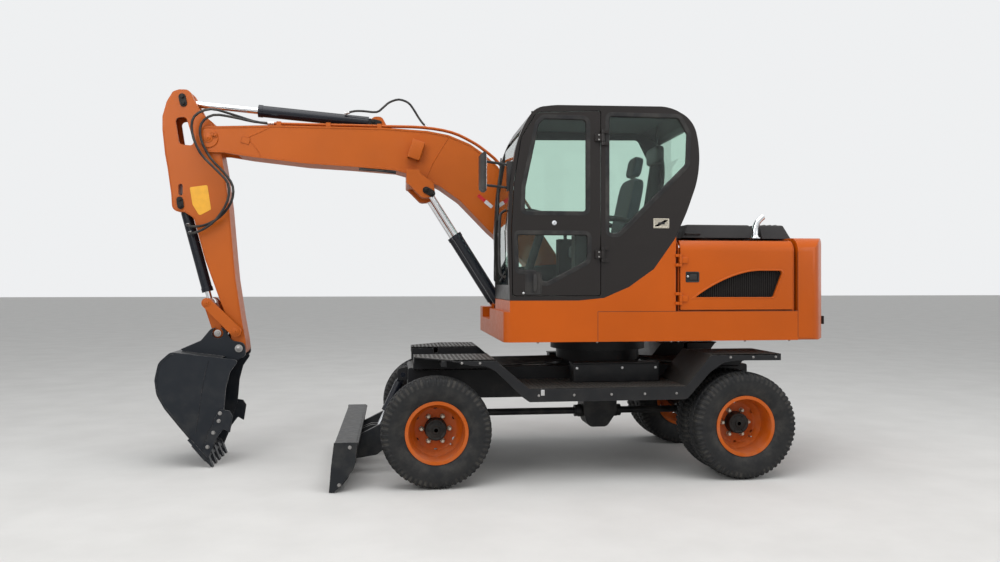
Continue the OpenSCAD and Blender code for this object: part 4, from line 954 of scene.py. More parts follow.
@dataclass
class Studio:
    """Pale floor, plain backdrop, soft lamps and the camera at the photograph's viewing angle."""

    eye: tuple[float, float, float] = (1.810, 7.236, 1.576)
    heading_deg: float = 7.3
    # Focal length in pixels of the photograph's frame, and that frame's width
    focal_px: float = 820.0
    frame_px: float = 1000.0
    # The horizon lies this many pixels below the middle of the frame
    horizon_px: float = 2.0
    sensor_mm: float = 36.0
    floor_half: float = 90.0
    sky: Colour = (0.86, 0.87, 0.88)
    sky_light: float = 0.62
    lamps: list[tuple[str, tuple, tuple, float, float]] = field(default_factory=lambda: [
        ("overhead", (1.0, 3.0, 9.0), (0.6, 0.0, 1.0), 9.0, 620.0),
        ("front_left", (7.5, 8.5, 5.5), (1.2, 0.0, 1.3), 5.0, 300.0),
        ("rear_left", (-8.0, 7.0, 5.0), (-0.5, 0.0, 1.4), 5.0, 190.0),
    ])

    def build(self) -> None:
        """Makes the floor, the world, the lamps and the camera."""
        self._floor()
        self._world()
        for name, place, aim, size, power in self.lamps:
            self._lamp(name, Vector(place), Vector(aim), size, power)
        self._camera()
        view = bpy.context.scene.view_settings
        view.view_transform = "Standard"

    def _floor(self) -> None:
        """A flat square under the wheels, in a plain pale finish."""
        graph = Graph("pale_floor")
        grain = graph.ramp(graph.noise(1.7, 6.0), 0.2, 0.8)
        ground = graph.blend(grain, (0.60, 0.595, 0.58), (0.66, 0.655, 0.64))
        graph.put(graph.shader.inputs["Base Color"], ground)
        graph.shader.inputs["Roughness"].default_value = 0.85
        s = self.floor_half
        corners = np.array([(-s, -s, 0), (s, -s, 0), (s, s, 0), (-s, s, 0)], float)
        Mesh(corners, [np.array([[0, 1, 2, 3]])]).build("floor", graph.material)

    def _world(self) -> None:
        """An even sky: a plain pale colour where it is seen, and a softer light on the object."""
        world = bpy.data.worlds.new("studio")
        world.use_nodes = True
        bpy.context.scene.world = world
        tree = world.node_tree
        sky = tree.nodes["Background"]
        sky.inputs["Color"].default_value = (*self.sky, 1.0)
        path = tree.nodes.new("ShaderNodeLightPath")
        seen = tree.nodes.new("ShaderNodeMath")
        seen.operation = "MAXIMUM"
        tree.links.new(path.outputs["Is Camera Ray"], seen.inputs[0])
        either = tree.nodes.new("ShaderNodeMath")
        either.operation = "MAXIMUM"
        tree.links.new(path.outputs["Is Glossy Ray"], either.inputs[0])
        tree.links.new(path.outputs["Is Transmission Ray"], either.inputs[1])
        tree.links.new(either.outputs[0], seen.inputs[1])
        strength = tree.nodes.new("ShaderNodeMapRange")
        strength.inputs["To Min"].default_value = self.sky_light
        strength.inputs["To Max"].default_value = 1.0
        tree.links.new(seen.outputs[0], strength.inputs["Value"])
        tree.links.new(strength.outputs["Result"], sky.inputs["Strength"])

    def _lamp(self, name: str, place: Vector, aim: Vector, size: float, power: float) -> None:
        """A square soft lamp that looks at a point."""
        data = bpy.data.lights.new(name, "AREA")
        data.size = size
        data.energy = power
        lamp = bpy.data.objects.new(name, data)
        lamp.location = place
        lamp.rotation_euler = (aim - place).to_track_quat("-Z", "Y").to_euler()
        bpy.context.scene.collection.objects.link(lamp)

    def _camera(self) -> None:
        """The camera: level but for the small pitch that puts the horizon where the photograph has it."""
        data = bpy.data.cameras.new("camera")
        data.sensor_width = self.sensor_mm
        data.lens = self.focal_px / self.frame_px * self.sensor_mm
        data.clip_end = 300.0
        camera = bpy.data.objects.new("camera", data)
        yaw = math.radians(self.heading_deg)
        pitch = math.atan(self.horizon_px / self.focal_px)
        look = Vector((-math.sin(yaw) * math.cos(pitch), -math.cos(yaw) * math.cos(pitch), math.sin(pitch)))
        camera.location = self.eye
        camera.rotation_euler = look.to_track_quat("-Z", "Y").to_euler()
        bpy.context.scene.collection.objects.link(camera)
        bpy.context.scene.camera = camera


class Assembly:
    """A group of pieces of the machine. Each piece rides on a body and takes a finish."""

    def add(self, mesh: Mesh, name: str, body: str, finish: Finish, smooth: float = 40.0) -> Object:
        """Makes an object of a mesh and fastens it to a body.

        Args:
            mesh: the piece.
            name: its plain name.
            body: the body that it moves with.
            finish: its finish.
            smooth: edges sharper than this many degrees stay sharp.

        Returns:
            The object.
        """
        piece = mesh.build(name, finish.material(), smooth)
        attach(piece, body)
        log.info("%s: %d faces on %s", name, sum(len(b) for b in mesh.faces), body)
        return piece

    def build(self) -> None:
        """Builds every piece of the group."""
        raise NotImplementedError


class Carried(Assembly):
    """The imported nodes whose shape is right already, each with its finish."""

    finishes: dict[str, Finish] = {
        "frame": CHASSIS_BLACK, "fenders": STEP_BLACK, "drivetrain": CHASSIS_BLACK, "axles": CHASSIS_BLACK,
        "knuckle_left": CHASSIS_BLACK, "knuckle_right": CHASSIS_BLACK, "tie_rod": DULL_STEEL,
        "rim_fl": RIM_ORANGE, "rim_fr": RIM_ORANGE, "rims_rl": RIM_ORANGE, "rims_rr": RIM_ORANGE,
        "tyre_fl": TYRE_BLACK, "tyre_fr": TYRE_BLACK, "tyres_rl": TYRE_BLACK, "tyres_rr": TYRE_BLACK,
        "blade": BLADE_BLACK, "blade_barrel": BARREL_NAVY, "blade_rod": CHROME, "slew_ring": CHASSIS_BLACK,
        "deck": BODY_ORANGE, "cab": CAB_BROWN, "cab_glass": WINDOW, "seat": SEAT_CLOTH,
                                   "console": PLASTIC_BLACK,
        "hood": BODY_ORANGE, "counterweight": BODY_ORANGE, "engine": DULL_STEEL, "exhaust": CHROME,
        "mirror": PLASTIC_BLACK, "door": CAB_BROWN, "door_glass": WINDOW, "side_hatch": BODY_ORANGE,
        "engine_lid": LID_BLACK, "boom": ARM_ORANGE, "boom_pipes": ARM_ORANGE, "work_lamp": ARM_ORANGE,
        "boom_barrels": BARREL_NAVY, "boom_rods": CHROME, "stick": ARM_ORANGE, "stick_barrel": BARREL_NAVY,
        "stick_rod": CHROME, "rocker": ARM_ORANGE, "link": ARM_ORANGE, "bucket": BUCKET_BLACK,
        "bucket_barrel": BARREL_NAVY, "bucket_rod": CHROME, "hoses": HOSE_BLACK,
    }

    def build(self) -> None:
        """Gives each node its finish."""
        for name, node in frame["nodes"].items():
            material = self.finishes[name].material()
            if node.material_slots:
                for place in node.material_slots:
                    place.material = material
            else:
                node.data.materials.append(material)


@dataclass
class Wheels(Assembly):
    """Tyres with fine cross bars, wheel nuts, hub covers and valves."""

    tyre_r: float = 0.430
    half_width: float = 0.1175
    bead_r: float = 0.2253
    bars: int = 60
    bar_steps: int = 8
    bar_depth: float = 0.009
    groove_share: float = 0.42
    axle_z: float = 0.430
    front_x: float = 1.493
    rear_x: float = -0.975
    wheel_y: float = 0.8825
    disc_offset: float = 0.135
    disc_t: float = 0.010
    stud_ring_r: float = 0.111
    studs: int = 6
    nut_flats: float = 0.030
    hub_r: float = 0.0832
    hub_reach: float = 0.094

    def section(self) -> Array:
        """The outer section of a tyre from one bead to the other: rows of radius and distance from its
        middle plane."""
        w = self.half_width
        half = np.array([
            (self.bead_r, w - 0.0365), (self.bead_r + 0.018, w - 0.0305), (0.262, w - 0.019),
                         (0.285, w - 0.0085),
            (0.309, w - 0.0015), (0.330, w), (0.348, w - 0.0004), (0.362, w - 0.0012), (0.366, w - 0.0005),
            (0.372, w - 0.0005), (0.380, w - 0.0015), (0.390, w - 0.0035), (0.400, w - 0.0065),
                         (0.4095, w - 0.0115),
            (0.4170, w - 0.0185), (0.4215, w - 0.0275), (0.4245, w - 0.0400), (0.4265, w - 0.0560),
            (0.4275, w - 0.0700), (0.4280, w - 0.0760), (0.4284, w - 0.0800), (0.4288, w - 0.0860),
            (0.4291, w - 0.0900), (0.4295, w - 0.1020), (self.tyre_r, 0.0)])
        mirrored = half[-2::-1] * np.array([1.0, -1.0])
        return np.vstack([half, mirrored])

    def tyre(self, turn: float) -> tuple[Mesh, Array]:
        """One tyre about the origin, its axis along Y.

        The radius is the section's, less the bar depth in the grooves: across the shoulders a square wave of
        the
        angle, and round the crown two zigzag channels at y = z0 + dz*triangle(angle).

        Args:
            turn: angle of its first bar.

        Returns:
            The tyre, and for each vertex how much grime lies there.
        """
        section = self.section()
        count = self.bars * self.bar_steps
        angle = turn + np.arange(count) * 2 * math.pi / count
        share = (np.arange(count) % self.bar_steps) / self.bar_steps
        radius, across_y = section[:, 0][None, :], section[:, 1][None, :]
        side = np.where(across_y < 0, 0.5, 0.0)
        wave = (share[:, None] + side) % 1.0 < self.groove_share
        shoulder = np.clip((radius - 0.364) / 0.012, 0, 1) * np.clip((np.abs(across_y) - 0.036) / 0.006, 0, 1)
        triangle = np.abs(share[:, None] * 2 - 1) * 2 - 1
        channel = np.abs(np.abs(across_y) - 0.0335 - 0.0035 * triangle) < 0.0045
        depth = np.maximum(wave * shoulder, channel * (radius > 0.42))
        # On the sidewall the groove goes inwards along Y, on the crown along the radius
        outward_y = np.clip((0.4170 - radius) / 0.03, 0, 1)
        r = radius - self.bar_depth * depth * (1 - 0.85 * outward_y)
        y = across_y - np.sign(across_y) * 0.5 * self.bar_depth * depth * outward_y
        points = np.stack([r * np.cos(angle)[:, None], y * np.ones_like(r), r * np.sin(angle)[:, None]],
                          axis=-1)
        wall = np.clip((0.375 - radius) / 0.09, 0, 1) * 0.35 * np.ones_like(r)
        grime = np.maximum(depth * 0.85, wall)
        mesh = Mesh(points.reshape(-1, 3), [grid_faces(count, len(section), True, True)]).outward()
        return mesh, grime.ravel()

    def tyres(self, name: str, nodes: str, body: str, places: list[tuple[float, float]]) -> None:
        """Makes the tyres of one body and replaces their plain solids."""
        made = [self.tyre(0.11 * k) for k in range(len(places))]
        meshes = [mesh.moved(np.eye(3), np.array([x, y, self.axle_z])) for (mesh, _),
                  (x, y) in zip(made, places)]
        piece = self.add(Mesh.joined(meshes), name, body, TYRE_BLACK, 32.0)
        grime = piece.data.attributes.new("grime", "FLOAT", "POINT")
        grime.data.foreach_set("value", np.concatenate([g for _, g in made]).astype(np.float32))
        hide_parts(nodes)

    def fittings(self, name: str, body: str, x: float, side: Side) -> None:
        """Hub cover, wheel nuts and valve on the outer face of one wheel."""
        out = np.array([0, side.value, 0.0])
        face = self.wheel_y - self.disc_offset + self.disc_t
        middle = np.array([x, 0, self.axle_z]) + out * face
        reach = self.hub_reach
        cover = turned(np.array([
            (0.052, 0.0006), (self.hub_r + 0.006, 0.0006), (self.hub_r + 0.006, 0.004), (self.hub_r, 0.007),
            (self.hub_r, reach - 0.016), (self.hub_r - 0.003, reach - 0.010), (0.070, reach - 0.008),
            (0.066, reach - 0.011), (0.056, reach - 0.011), (0.050, reach - 0.008), (0.034, reach - 0.007),
            (0.030, reach - 0.002), (0.0, reach)]), middle, out, LARGE_TURN)
        t = np.arange(self.studs) * 2 * math.pi / self.studs
        spokes = np.stack([np.cos(t), np.zeros_like(t), np.sin(t)], 1)
        turned_out = np.broadcast_to(axes_along(out), (self.studs, 3, 3))
        small = hex_bolt(0.010, washer=False)
        bolts = repeated(small, middle + out * (reach - 0.011) + 0.061 * spokes, turned_out)
        self.add(Mesh.joined([cover, bolts]), f"{name}_hub_cover", body, HUB_BLACK)
        self.add(repeated(self.nut(), middle + self.stud_ring_r * spokes, turned_out), f"{name}_nuts", body,
                 NUT_STEEL)
        # The valve leans out of the rim's barrel towards the lowest hand hole
        foot = middle + out * 0.012 + np.array([-0.118, 0, -0.118])
        path = smooth_path(np.array([foot - out * 0.004, foot + out * 0.02,
                                     foot + out * 0.045 + [0.004, 0, 0.004]]), 4)
        self.add(Mesh.joined([tube(path, 0.0042, 10), tube(path[-4:] + out * 0.006, 0.0056, 10)]),
                 f"{name}_valve", body, DULL_STEEL)

    def nut(self) -> Mesh:
        """A wheel nut on its cone washer, with the end of its stud in it."""
        r = self.nut_flats / 2 / math.cos(math.pi / 6)
        z = np.array([0, 0, 1.0])
        washer = turned(np.array([(0, 0), (r * 1.22, 0), (r * 1.22, 0.003), (r * 1.02, 0.006), (0, 0.006)]),
                        np.zeros(3), z, 20)
        head = turned(np.array([(0, 0.005), (r, 0.005), (r, 0.024), (r * 0.88, 0.027), (0, 0.027)]),
                      np.zeros(3), z, 6)
        stud = turned(np.array([(0, 0.02), (0.0118, 0.02), (0.0118, 0.0345), (0.0105, 0.036), (0, 0.036)]),
                      np.zeros(3), z, 14)
        return Mesh.joined([washer, head, stud])

    def build(self) -> None:
        """Dresses the two front wheels and the two twin wheels at the rear."""
        inner = self.wheel_y - 2 * self.disc_offset
        for side, tag in ((Side.LEFT, "l"), (Side.RIGHT, "r")):
            s = side.value
            self.tyres(f"front_tyre_{tag}", f"tyre_f{tag}", f"wheel_f{tag}",
                       [(self.front_x, s * self.wheel_y)])
            self.tyres(f"rear_tyres_{tag}", f"tyres_r{tag}", f"wheels_r{tag}",
                       [(self.rear_x, s * self.wheel_y), (self.rear_x, s * inner)])
            self.fittings(f"front_{tag}", f"wheel_f{tag}", self.front_x, side)
            self.fittings(f"rear_{tag}", f"wheels_r{tag}", self.rear_x, side)


@dataclass
class CabTrim(Assembly):
    """Window seals, door furniture, the latch plate behind the door, wiper and roof lining."""

    side_y: float = 0.930
    right_y: float = 0.0
    seal_profile: tuple = ((-0.024, 0.0), (-0.022, 0.0016), (0.004, 0.0018), (0.010, -0.004),
                           (0.012, -0.0165), (-0.004, -0.0165), (-0.004, -0.001))
    upper_window: tuple = ((0.705, 2.820, 0.050), (0.810, 2.330, 0.0), (0.818, 2.129, 0.030),
                           (0.310, 2.129, 0.030), (0.310, 2.868, 0.040), (0.660, 2.868, 0.040))
    lower_window: tuple = ((0.872, 1.961, 0.020), (0.300, 1.961, 0.030), (0.300, 1.749, 0.060),
                           (0.660, 1.560, 0.050), (0.727, 1.668, 0.020), (0.862, 1.668, 0.020))
    quarter_window: tuple = ((0.140, 2.900, 0.030), (-0.440, 2.900, 0.050), (-0.515, 2.766, 0.040),
                             (-0.505, 2.520, 0.060), (0.060, 1.960, 0.030), (0.140, 1.960, 0.030))
    right_window: tuple = ((0.840, 1.700, 0.040), (0.845, 2.120, 0.0), (0.770, 2.700, 0.060),
                           (0.660, 2.860, 0.060), (-0.380, 2.880, 0.060), (-0.500, 2.640, 0.060),
                           (-0.440, 2.250, 0.040), (-0.060, 1.760, 0.060))
    lock: tuple[float, float] = (0.575, 2.046)
    latch: tuple[float, float] = (-0.290, 2.050)
    pocket: tuple[float, float] = (0.740, 1.575)

    def seals(self) -> None:
        """Black borders round the side windows: a profile carried round each opening."""
        profile = np.array(self.seal_profile)
        windows = [("door_upper_seal", self.upper_window, "door"),
                   ("door_lower_seal", self.lower_window, "door"),
                   ("quarter_seal", self.quarter_window, "house")]
        for name, corners, body in windows:
            self.add(carried_round(rounded_outline(list(corners)), profile, self.side_y), name, body,
                     SEAL_AND_SHADE_BLACK, 30.0)
        right = rounded_outline(list(self.right_window))
        self.add(carried_round(right, profile, -self.right_y, Side.RIGHT), "right_seal", "house",
                 SEAL_AND_SHADE_BLACK, 30.0)

    def door_furniture(self) -> None:
        """Round lock with a black plate of painted shade in its keyway, the handle in its pocket and its
        button.
        """
        out = np.array([0, 1.0, 0])
        x, z = self.lock
        place = np.array([x, self.side_y, z])
        ring = turned(np.array([(0, 0), (0.021, 0), (0.021, 0.004), (0.0185, 0.0075), (0.0135, 0.008),
                                (0.0125, 0.0062), (0.0, 0.0062)]), place, out, 32)
        barrel = turned(np.array([(0, 0.006), (0.0085, 0.006), (0.0085, 0.0105), (0.0072, 0.0118),
                                  (0, 0.0118)]),
                        place, out, 20)
        # Painted shade: the keyway is a thin black plate on the barrel's face, standing for the dark hole of
        # the key
        key = side_plate(rounded_outline([(x - 0.0012, z - 0.0055, 0.0005), (x + 0.0012, z - 0.0055, 0.0005),
                                          (x + 0.0012, z + 0.0055, 0.0005),
                                          (x - 0.0012, z + 0.0055, 0.0005)]),
                         self.side_y + 0.0117, 0.0006, 0.0002)
        self.add(Mesh.joined([ring, barrel]), "door_lock", "door", CHROME)
        self.add(key, "door_lock_keyway_shade", "door", SEAL_AND_SHADE_BLACK)
        x, z = self.pocket
        rim = rounded_outline([(x - 0.062, z - 0.085, 0.016), (x + 0.062, z - 0.085, 0.016),
                               (x + 0.062, z + 0.085, 0.016), (x - 0.062, z + 0.085, 0.016)])
        bowl = carried_round(rim, np.array([(-0.004, 0.0), (-0.003, 0.0022), (0.001, 0.0024), (0.004, 0.001),
                                            (0.012, -0.014), (0.0, -0.016)]), self.side_y)
        floor_plate = side_plate(inset(rim, 0.006), self.side_y + 0.0002, 0.0006, 0.0002)
        grip = pillow((0.030, 0.020, 0.135), np.array([x - 0.012, self.side_y + 0.007, z]), 0.55, 16, 24)
        self.add(Mesh.joined([bowl, floor_plate]), "handle_pocket", "door", SEAL_AND_SHADE_BLACK)
        self.add(grip, "door_handle", "door", PLASTIC_BLACK)
        button = turned(np.array([(0, 0), (0.009, 0), (0.009, 0.003), (0.006, 0.005), (0, 0.0056)]),
                        np.array([x + 0.078, self.side_y, z - 0.078]), out, 20)
        self.add(button, "door_button", "door", BRIGHT_STEEL)

    def latch_plate(self) -> None:
        """Zinc plate behind the door, with a pressed border and a thin black plate of painted shade in its
        slot.
        """
        x, z = self.latch
        rim = rounded_outline([(x - 0.066, z - 0.040, 0.006), (x + 0.066, z - 0.040, 0.006),
                               (x + 0.066, z + 0.040, 0.006), (x - 0.066, z + 0.040, 0.006)])
        dish = carried_round(rim, np.array([(0.0, 0.0), (0.001, 0.004), (0.006, 0.0055), (0.012, 0.0035),
                                            (0.016, 0.0018), (0.016, 0.0)]), self.side_y)
        sheet = side_plate(inset(rim, 0.012), self.side_y, 0.0022, 0.0005)
        # Painted shade: the slot is a thin black plate on the sheet, standing for the dark opening
        slot = side_plate(rounded_outline([(x - 0.030, z - 0.008, 0.004), (x + 0.030, z - 0.008, 0.004),
                                           (x + 0.022, z + 0.009, 0.004), (x - 0.030, z + 0.009, 0.004)]),
                          self.side_y + 0.002, 0.0008, 0.0002)
        self.add(Mesh.joined([dish, sheet]), "latch_plate", "house", NUT_STEEL)
        self.add(slot, "latch_slot_shade", "house", SEAL_AND_SHADE_BLACK)

    def hinges(self) -> None:
        """Screw heads on the leaves of the door's hinges."""
        out = np.array([0, 1.0, 0])
        heads = hex_bolt(0.013)
        places = np.array([[x, self.side_y + 0.018, z + dz] for z in (1.800, 2.720) for x, dz in
                           ((0.222, -0.018), (0.222, 0.018))])
        self.add(repeated(heads, places, np.broadcast_to(axes_along(out), (len(places), 3, 3))),
                 "hinge_screws", "door", DULL_STEEL)

    def interior(self) -> None:
        """Roof lining, sun visor and monitor, seen through the windows."""
        lining = block((-0.50, 0.05, 2.925), (0.70, 0.88, 2.936), 0.004, 0.05)
        self.add(lining, "roof_lining", "house", LINING_GREY)
        visor = pillow((0.07, 0.34, 0.15), np.array([-0.395, 0.45, 2.66]), 0.45, 20, 32)
        self.add(visor, "rear_speaker", "house", PLASTIC_BLACK)
        bracket = tube(np.array([(-0.40, 0.45, 2.73), (-0.42, 0.45, 2.93)]), 0.012, 10)
        self.add(bracket, "rear_speaker_arm", "house", PLASTIC_BLACK)
        screen = block((0.79, 0.62, 2.02), (0.83, 0.80, 2.18), 0.006)
        curve = smooth_path(np.array([(0.82, 0.71, 2.03), (0.85, 0.71, 1.95), (0.87, 0.71, 1.80)]), 4)
        stand = tube(curve, 0.012, 10)
        self.add(Mesh.joined([screen, stand]), "monitor", "house", PLASTIC_BLACK)
        glass = side_plate(rounded_outline([(2.035, 0.632, 0.004), (2.165, 0.632, 0.004),
                                            (2.165, 0.788, 0.004),
                                            (2.035, 0.788, 0.004)]), 0.0, 0.0015, 0.0004)
        # The screen's face looks rearwards, so the plate's axes are turned onto Z, Y and -X
        turn = np.array([[0, -1.0, 0], [0, 0, 1.0], [1.0, 0, 0]])
        self.add(glass.moved(turn, np.array([0.790, 0, 0])).outward(), "monitor_glass", "house", SCREEN_BLACK)

    def outside(self) -> None:
        """Grab rail on the front post, wiper and the small aerial on the roof."""
        rail = smooth_path(np.array([(0.948, 0.846, 1.62), (0.990, 0.848, 1.66), (0.998, 0.85, 1.85),
                                     (0.994, 0.85, 2.05), (0.985, 0.848, 2.12), (0.942, 0.846, 2.15)]), 6)
        self.add(tube(rail, 0.011, 14), "grab_rail", "house", PLASTIC_BLACK)
        arm = smooth_path(np.array([(0.948, 0.20, 1.60), (0.962, 0.22, 1.63), (0.968, 0.34, 1.98),
                                    (0.955, 0.44, 2.36)]), 5)
        blade = smooth_path(np.array([(0.962, 0.44, 2.10), (0.952, 0.44, 2.38), (0.930, 0.44, 2.62)]), 5)
        self.add(Mesh.joined([tube(arm, 0.005, 10), tube(blade, 0.006, 8)]), "wiper", "house", PLASTIC_BLACK)
        self.add(tube(np.array([(0.690, 0.60, 2.968), (0.690, 0.60, 2.985)]), 0.012, 14), "roof_stud",
                 "house", PLASTIC_BLACK)

    def build(self) -> None:
        """Builds the trim."""
        self.seals()
        self.door_furniture()
        self.latch_plate()
        self.hinges()
        self.interior()
        self.outside()


@dataclass
class OperatorSeat(Assembly):
    """The operator's place: a padded cushion, back and headrest on a bellows base."""

    x: float = 0.060
    y: float = 0.450
    lean_deg: float = -12.0

    def cushions(self) -> None:
        """Three padded forms in woven cloth, the cushion with sewn channels."""
        foot = np.array([self.x - 0.200, self.y, 1.900])
        base = pillow((0.480, 0.470, 0.118), np.array([self.x + 0.026, self.y, 1.8415]), 0.30)
        base = self.channelled(base, 2, 0.35)
        back = tilted(pillow((0.104, 0.470, 0.545), foot + [0.055, 0, 0.277], 0.34), self.lean_deg, foot)
        head = tilted(pillow((0.085, 0.255, 0.172), np.array([self.x - 0.275, self.y, 2.555]), 0.5),
                      self.lean_deg, np.array([self.x - 0.275, self.y, 2.555]))
        for name, mesh in (("seat_cushion", base), ("seat_back", back), ("seat_headrest", head)):
            piece = self.add(mesh, name, "house", SEAT_CLOTH, 60.0)
        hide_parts("seat")

    def channelled(self, mesh: Mesh, lines: int, width: float) -> Mesh:
        """A copy with sewn channels across its top: the height falls by a narrow bell curve beside each
        line."""
        points = mesh.points.copy()
        low, high = points.min(axis=0), points.max(axis=0)
        along = (points[:, 0] - low[0]) / (high[0] - low[0])
        top = np.clip((points[:, 2] - low[2]) / (high[2] - low[2]) * 2 - 1, 0, 1)
        for k in range(lines):
            line = (k + 1) / (lines + 1)
            points[:, 2] -= 0.007 * top * np.exp(-(((along - line) / (0.05 * width / 0.35)) ** 2))
        return Mesh(points, mesh.faces)

    def stand(self) -> None:
        """Bellows between the floor and the cushion: its half width swells and falls with height; armrests
        and posts."""
        t = np.linspace(0, 1, 41)
        swell = 0.165 + 0.010 * np.cos(t * 2 * math.pi * 8)
        u = np.linspace(0, 2 * math.pi, 48, endpoint=False)
        ring = np.stack([np.sign(np.cos(u)) * np.abs(np.cos(u)) ** 0.3,
                         np.sign(np.sin(u)) * np.abs(np.sin(u)) ** 0.3], 1)
        points = np.concatenate([swell[:, None, None] * ring[None] * np.array([0.72, 1.0]),
                                 np.broadcast_to((1.475 + 0.305 * t)[:, None, None], (41, 48, 1))], axis=2)
        points[..., 0] += self.x + 0.060
        points[..., 1] += self.y
        shut = np.concatenate([points[:1] * [0, 0, 1] + [self.x + 0.06, self.y, 0], points,
                               points[-1:] * [0, 0, 1] + [self.x + 0.06, self.y, 0]])
        self.add(surface(shut, close_columns=True), "seat_bellows", "house", SEAL_AND_SHADE_BLACK)
        arms = []
        for s in (-1, 1):
            path = smooth_path(np.array([(self.x - 0.215, self.y + s * 0.262, 2.06),
                                         (self.x - 0.05, self.y + s * 0.266, 2.10),
                                         (self.x + 0.16, self.y + s * 0.266, 2.10)]), 6)
            arms.append(tube(path, np.linspace(0.018, 0.028, len(path)), 14))
        rods = [np.array([(self.x - 0.262, self.y + d, 2.43), (self.x - 0.276, self.y + d, 2.52)])
                for d in (-0.07, 0.07)]
        posts = [tube(rod, 0.006, 10) for rod in rods]
        self.add(Mesh.joined(arms), "seat_arms", "house", PLASTIC_BLACK)
        self.add(Mesh.joined(posts), "headrest_posts", "house", CHROME)

    def build(self) -> None:
        """Builds the seat."""
        self.cushions()
        self.stand()


@dataclass
class HouseShell(Assembly):
    """Engine hood, side hatch with its vent, counterweight, lid and exhaust, with the rounded edges of
    pressed sheet."""

    half: float = 0.930
    belt_z: float = 1.350
    skirt_z: float = 1.113
    top_z: float = 1.947
    round_r: float = 0.120
    sheet: float = 0.022
    rear: float = -1.441
    front: float = -0.414
    tail: float = -1.830
    vent_tip: tuple[float, float] = (-1.120, 1.462)
    vent_axes: tuple[float, float] = (0.550, 0.213)
    hinge_x: float = -0.447
    hinge_out: float = 0.014
    lid_hinge: tuple[float, float] = (-1.196, 1.957)

    def section(self, d: float) -> Array:
        """The hood's cross section with every side but the lower one moved inwards by d."""
        h, top, r = self.half - d, self.top_z - d, self.round_r - d
        low = self.belt_z - (0.002 if d > 0 else 0.0)
        return rounded_outline([(-h, low, 0), (h, low, 0), (h, top, r), (-h, top, r)], 10)

    def hood(self) -> None:
        """The hood as a shell, open under the lid and behind the hatch, with the tank and locker beside
        it."""
        t, half, top = self.sheet, self.half, self.top_z
        body = along("x", self.section(0.0), self.rear, self.front)
        inside = along("x", self.section(t), self.rear + t, self.front - t)
        hatch_hole = box((self.rear + 0.040, half - self.round_r, 1.356),
                         (self.front - 0.030, half + 0.01, 1.923))
        lid_hole = box((-1.150, -0.600, top - 0.05), (-0.600, 0.600, top + 0.01))
        shell = carved(body, inside, hatch_hole, lid_hole)
        tank_line = rounded_outline([(self.front, -half, 0), (0.560, -half, 0.09), (0.560, -0.600, 0.04),
                                     (0.140, -0.540, 0.04), (self.front, -0.540, 0)])
        tank = along("z", tank_line, self.belt_z, 1.800, 0.012)
        locker_line = np.array([(self.front, -0.54), (0.04, -0.54), (0.04, -0.02), (self.front, -0.02)])
        locker = along("z", locker_line, self.belt_z, 1.740, 0.006)
        posts = [self.hinge_post(z) for z in self.hinge_heights()]
        piece = self.add(Mesh.joined([shell, tank, locker, *posts]), "hood_shell", "house", BODY_ORANGE)
        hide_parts("hood")

    def hinge_heights(self) -> list[float]:
        """Heights of the side hatch's two hinges."""
        return [1.452, 1.757]

    def hinge_post(self, z: float) -> Mesh:
        """Pin of a hatch hinge with its two lugs on the hood's edge."""
        y = self.half + self.hinge_out
        pin = turned(np.array([(0, 0), (0.006, 0), (0.006, 0.1), (0, 0.1)]),
                     np.array([self.hinge_x, y, z - 0.05]), np.array([0, 0, 1.0]), SMALL_TURN)
        lugs = []
        for low in (z - 0.050, z + 0.026):
            lugs.append(turned(np.array([(0, 0), (0.012, 0), (0.012, 0.024), (0, 0.024)]),
                               np.array([self.hinge_x, y, low]), np.array([0, 0, 1.0]), SMALL_TURN))
            lugs.append(block((self.hinge_x, self.half - 0.002, low),
                              (self.hinge_x + 0.040, y, low + 0.024), 0.002))
        return Mesh.joined([pin, *lugs])

    def vent_line(self, grow: float) -> Array:
        """A curve z = b (1 - t^1.8) over x = a t from the vent's tip, closed by a slanted rear side, grown
        outwards."""
        (x, z), (a, b) = self.vent_tip, self.vent_axes
        t = 1 - np.linspace(0, 1, 15)
        arc = np.stack([x + (a + grow) * t, z + (b + grow) * (1 - t ** 1.8), np.zeros_like(t)], 1)
        arc[0, 1] -= grow
        corners = [tuple(p) for p in arc] + [(-1.312 - grow, z + b + grow, 0.020),
                                             (-1.230 - grow, z - grow, 0.020)]
        return rounded_outline(corners, 4)

    def hatch(self) -> None:
        """The rounded hatch with its latch pocket, its dark vent and the pressed rim round the vent."""
        outer = along("x", self.section(0.0), self.rear + 0.046, self.front - 0.036)
        inner = along("x", self.section(self.sheet), self.rear, self.front)
        window = box((self.rear, self.half - self.round_r, 1.362), (self.front, self.half + 0.01, 1.917))
        panel = carved(carved(outer, window, operation="INTERSECT"), inner)
        pocket = box((-0.603, self.half - 0.012, 1.584), (-0.495, self.half + 0.02, 1.664))
        hole = along("y", self.vent_line(0.0), self.half - 0.060, self.half + 0.02)
        panel = carved(panel, pocket, hole)
        barrels = []
        for z in self.hinge_heights():
            y = self.half + self.hinge_out
            barrels.append(turned(np.array([(0.0063, 0), (0.012, 0), (0.012, 0.05), (0.0063, 0.05)]),
                                  np.array([self.hinge_x, y, z - 0.025]), np.array([0, 0, 1.0]), SMALL_TURN))
            barrels.append(block((self.hinge_x - 0.060, self.half - 0.001, z - 0.025),
                                 (self.hinge_x - 0.009, y, z + 0.025), 0.003))
        rim = carried_round(self.vent_line(0.004),
                            np.array([(-0.010, 0.0), (-0.007, 0.0026), (-0.001, 0.0034),
                                      (0.003, 0.0016), (0.004, -0.004), (-0.010, -0.002)]), self.half)
        piece = self.add(Mesh.joined([panel, rim, *barrels]), "side_hatch_shell", "side_hatch", BODY_ORANGE)
        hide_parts("side_hatch")
        self.vent()
        self.latch()

